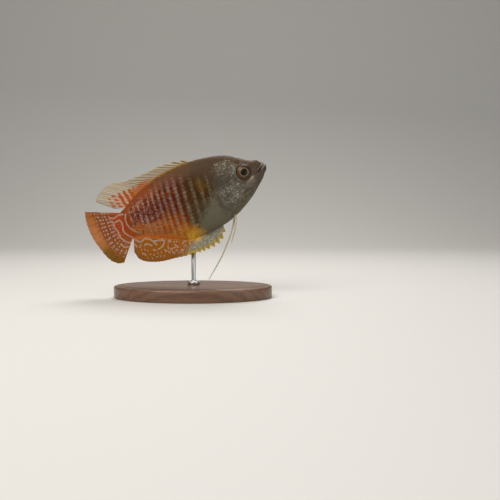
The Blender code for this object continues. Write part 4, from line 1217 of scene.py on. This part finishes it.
def build_eye(name, replaced, side, finish):
    """An eyeball with a raised pupil in a shallow iris, its axis square to the head's side."""
    rings, sides = 46, 96
    behind = np.linspace(0.1, 1.45, 12)  # angles from the rim to the middle of the back
    front = EYE_RADIUS * np.linspace(0.01, 1, rings) ** 0.9
    dome = np.sqrt(np.clip(1 - (front / EYE_RADIUS) ** 2, 0, 1)) * EYE_DEPTH
    pupil = PUPIL_RISE * np.sqrt(np.clip(1 - (front / PUPIL_RADIUS) ** 2, 0, 1))
    groove = 0.05 * bell(front - PUPIL_RADIUS - 0.07, 0.14)
    out = np.concatenate([dome + pupil - groove, -EYE_DEPTH * np.sin(behind)])
    turn = 2 * np.pi * np.arange(sides) / sides
    away, turn = np.meshgrid(np.concatenate([front, EYE_RADIUS * np.cos(behind)]), turn, indexing="ij")
    out = np.repeat(out[:, None], sides, axis=1)
    small = 0.05
    width = float(flank(EYE.x, EYE.y))
    slope = (np.array([flank(EYE.x + small, EYE.y), flank(EYE.x, EYE.y + small)]) - width) / small
    lens = stack(away * np.cos(turn), away * np.sin(turn), out)
    axis = unit(np.array([-slope[0] * 0.8, -slope[1] * 0.8, 1.0]))
    first = unit(np.array([axis[2], 0.0, -axis[0]]))
    second = np.cross(axis, first)
    points = lens[..., 0:1] * first + lens[..., 1:2] * second + lens[..., 2:3] * axis
    points = (points + (EYE.x, EYE.y, width + EYE_BULGE - EYE_DEPTH)) * (1, 1, side)
    marks = {"fan": stack(away, np.cos(turn), np.sin(turn)).reshape(-1, 3)}
    add_piece(name, points, ring_faces(len(away), sides), finish, (replaced,), marks)


def build_feeler(name, replaced, path, bright_tip, finish):
    """A thread through the path's points. The shader brightens its tip where bright_tip says so."""
    way = np.array(path, float)
    place = np.concatenate([[0], np.cumsum(np.linalg.norm(np.diff(way, axis=0), axis=1))])
    share = np.linspace(0, 1, 90)
    smooth = track([(at / place[-1], *spot) for at, spot in zip(place, way)], share)
    smooth[:, 1] += 0.8 * bell(share, 0.02)
    radii = np.interp(share, *np.array(FEELER_RADII).T) * (1 + 0.03 * np.sin(share * 420))
    radii[-3:] *= (0.9, 0.7, 0.35)
    points, faces = tube(smooth, radii, FEELER_SIDES)
    marks = {"fan": np.repeat(stack(share, float(bright_tip), 0.0), FEELER_SIDES, axis=0)}
    add_piece(name, points, faces, finish, (replaced,), marks)


def lathe(profile, sides, stretch):
    """Points and faces of a closed form from (inset, height) rings round an oval."""
    turn = 2 * np.pi * np.arange(sides) / sides
    rings = [stack((stretch[0] - inset) * np.cos(turn), (stretch[1] - inset) * np.sin(turn), height)
             for inset, height in profile]
    return np.concatenate(rings), ring_faces(len(profile), sides)


def rounded(radius, height, steps=8):
    """(inset, height) points of a rounded top edge."""
    turn = np.linspace(0, np.pi / 2, steps)
    return [(radius - radius * math.cos(t), height - radius + radius * math.sin(t)) for t in turn]


def build_stand():
    """The base, a low oval with a groove round its top, and the rod with its round foot."""
    size = sizes()
    height, half_length = size.base_height / MM, size.base_length / 2 / MM
    half_width, radius = size.base_width / 2 / MM, size.rod_radius / MM
    profile = [(0.5, 0.0), (0.15, 0.1), (0.0, 0.4)] + rounded(0.8, height, 10)
    profile += [(2.0, height), (2.15, height - 0.12), (2.4, height - 0.12), (2.55, height), (8.0, height)]
    points, faces = lathe(profile, 192, (half_length, half_width))
    add_piece("base", points, faces, wood_finish(), ("stand_base",), {"stand": points},
              fish=False)
    top, inset = height + FOOT_HEIGHT, FOOT_RADIUS - radius
    foot = [(0.0, height - 0.05)] + rounded(0.45, top, 8)
    foot += [(inset - 0.25, top), (inset - 0.05, top + 0.2), (inset, top + 0.5), (inset, ROD_TOP)]
    points, faces = lathe(foot, 64, (FOOT_RADIUS, FOOT_RADIUS))
    points = points + (0.0, ROD_ASIDE, 0.0)
    add_piece("rod", points, faces, steel_finish(), ("stand_rod",), {"stand": points},
              fish=False)


# Operators


class GOURAMI_OT_skin(bpy.types.Operator):
    """Make the fish's skin as one piece from the lips to the tail fin"""

    bl_idname = "gourami.skin"
    bl_label = "Skin"

    def execute(self, context):
        build_skin()
        return {"FINISHED"}


class GOURAMI_OT_scales(bpy.types.Operator):
    """Lay overlapping scales over both sides"""

    bl_idname = "gourami.scales"
    bl_label = "Scales"

    def execute(self, context):
        finish = body_finish("fish scales", True)
        build_coat("coat_left", 1, finish)
        build_coat("coat_right", -1, finish)
        return {"FINISHED"}


class GOURAMI_OT_eyes(bpy.types.Operator):
    """Make both eyes"""

    bl_idname = "gourami.eyes"
    bl_label = "Eyes"

    def execute(self, context):
        finish = eye_finish()
        build_eye("left_eye", "eye_left", 1, finish)
        build_eye("right_eye", "eye_right", -1, finish)
        return {"FINISHED"}


class GOURAMI_OT_fins(bpy.types.Operator):
    """Make the dorsal, anal and tail fins with their rays"""

    bl_idname = "gourami.fins"
    bl_label = "Middle fins"

    def execute(self, context):
        build_fin("dorsal", paint_dorsal, rays=24, pitch=(1.5, 1.1), per_ray=9, rows=40,
                  root=dorsal_root, margin=DORSAL_MARGIN, sway=dorsal_sway,
                  notches=((0.0, 0.5, 1.0), (0.9, 0.5, 0.12)), soft_from=0.67)
        build_fin("anal", paint_anal, rays=26, pitch=(2.4, 0.79), per_ray=12, rows=44,
                  root=anal_root, margin=ANAL_MARGIN, sway=anal_sway,
                  notches=((0.0, 0.1, 0.3, 0.5, 1.0), (2.0, 1.9, 1.2, 0.35, 0.1)), soft_from=0.5)
        build_fin("tail", paint_tail, rays=14, pitch=(1.0, 1.0), per_ray=16, rows=72,
                  root=tail_root, margin=TAIL_MARGIN, sway=tail_sway, notches=((0.0, 1.0), (0.3, 0.3)),
                  soft_from=-1.0)
        return {"FINISHED"}


class GOURAMI_OT_pectorals(bpy.types.Operator):
    """Make the clear fins on both flanks"""

    bl_idname = "gourami.pectorals"
    bl_label = "Side fins"

    def execute(self, context):
        finish = fin_finish("clear fin skin", paint_clear, see_through=True)
        build_pectoral("left_pectoral", "pectoral_fin_left", 1, finish)
        build_pectoral("right_pectoral", "pectoral_fin_right", -1, finish)
        return {"FINISHED"}


class GOURAMI_OT_feelers(bpy.types.Operator):
    """Make both feelers"""

    bl_idname = "gourami.feelers"
    bl_label = "Feelers"

    def execute(self, context):
        finish = feeler_finish()
        build_feeler("left_feeler", "feeler_left", LEFT_FEELER, False, finish)
        build_feeler("right_feeler", "feeler_right", RIGHT_FEELER, True, finish)
        return {"FINISHED"}


class GOURAMI_OT_stand(bpy.types.Operator):
    """Make the wooden base and the steel rod"""

    bl_idname = "gourami.stand"
    bl_label = "Stand"

    def execute(self, context):
        build_stand()
        return {"FINISHED"}


class GOURAMI_OT_stage(bpy.types.Operator):
    """Set up the floor, the lights and the camera"""

    bl_idname = "gourami.stage"
    bl_label = "Stage"

    def execute(self, context):
        scene = context.scene
        scene.view_settings.view_transform = "Standard"
        scene.view_settings.look = "None"
        profile = [(-FLOOR_HALF, 0.0), (COVE_START, 0.0)]
        profile += [(COVE_START + COVE_RADIUS * math.sin(turn), COVE_RADIUS - COVE_RADIUS * math.cos(turn))
                    for turn in np.linspace(0, np.pi / 2, 24)]
        profile += [(COVE_START + COVE_RADIUS, COVE_TOP)]
        points = [(x, y, z) for y, z in profile for x in (-FLOOR_HALF, FLOOR_HALF)]
        mesh = bpy.data.meshes.new("floor")
        mesh.from_pydata(points, [], grid_faces(len(profile), 2))
        mesh.shade_smooth()
        mesh.materials.append(plain_finish("floor", tuple(palette().floor), 0.7))
        floor = bpy.data.objects.new("floor", mesh)
        scene.collection.objects.link(floor)
        for name, spot, width, energy, tint in LIGHTS:
            light = bpy.data.lights.new(name, "AREA")
            light.size, light.energy, light.color = width, energy, tint
            lamp = bpy.data.objects.new(name, light)
            lamp.location = spot
            lamp.rotation_euler = (LIGHT_TARGET - Vector(spot)).to_track_quat("-Z", "Y").to_euler()
            scene.collection.objects.link(lamp)
        world = bpy.data.worlds.new("studio")
        world.use_nodes = True
        world.node_tree.nodes["Background"].inputs["Color"].default_value = (1.0, 0.99, 0.97, 1.0)
        world.node_tree.nodes["Background"].inputs["Strength"].default_value = 0.3
        scene.world = world
        camera = bpy.data.cameras.new("camera")
        camera.lens, camera.sensor_width, camera.clip_start = 50, 36, 0.01
        eye = bpy.data.objects.new("camera", camera)
        away = Vector((0.0, -math.cos(CAMERA_RISE), math.sin(CAMERA_RISE)))
        eye.location = CAMERA_AIM + CAMERA_DISTANCE * away
        eye.rotation_euler = (CAMERA_AIM - eye.location).to_track_quat("-Z", "Y").to_euler()
        scene.collection.objects.link(eye)
        scene.camera = eye
        return {"FINISHED"}


OPERATORS = (GOURAMI_OT_skin, GOURAMI_OT_scales, GOURAMI_OT_eyes, GOURAMI_OT_fins, GOURAMI_OT_pectorals,
             GOURAMI_OT_feelers, GOURAMI_OT_stand, GOURAMI_OT_stage)


class GOURAMI_PT_parts(bpy.types.Panel):
    """The steps that make the gourami, and its sizes and colours"""

    bl_idname = "GOURAMI_PT_parts"
    bl_label = "Dwarf gourami"
    bl_space_type = "VIEW_3D"
    bl_region_type = "UI"
    bl_category = "Gourami"

    def draw(self, context):
        for operator in OPERATORS:
            self.layout.operator(operator.bl_idname)
        for group in (context.scene.gourami_pose, context.scene.gourami_sizes, context.scene.gourami_colours):
            for key in group.__annotations__:
                self.layout.prop(group, key)


CLASSES = (GouramiPose, GouramiSizes, GouramiColours, *OPERATORS, GOURAMI_PT_parts)


def register():
    for kind in CLASSES:
        bpy.utils.register_class(kind)
    bpy.types.Scene.gourami_pose = PointerProperty(type=GouramiPose)
    bpy.types.Scene.gourami_sizes = PointerProperty(type=GouramiSizes)
    bpy.types.Scene.gourami_colours = PointerProperty(type=GouramiColours)


def unregister():
    del bpy.types.Scene.gourami_colours
    del bpy.types.Scene.gourami_sizes
    del bpy.types.Scene.gourami_pose
    for kind in reversed(CLASSES):
        bpy.utils.unregister_class(kind)


def main():
    register()
    bpy.ops.gourami.skin()
    bpy.ops.gourami.scales()
    bpy.ops.gourami.eyes()
    bpy.ops.gourami.fins()
    bpy.ops.gourami.pectorals()
    bpy.ops.gourami.feelers()
    bpy.ops.gourami.stand()
    bpy.ops.gourami.stage()


if __name__ == "__main__":
    main()
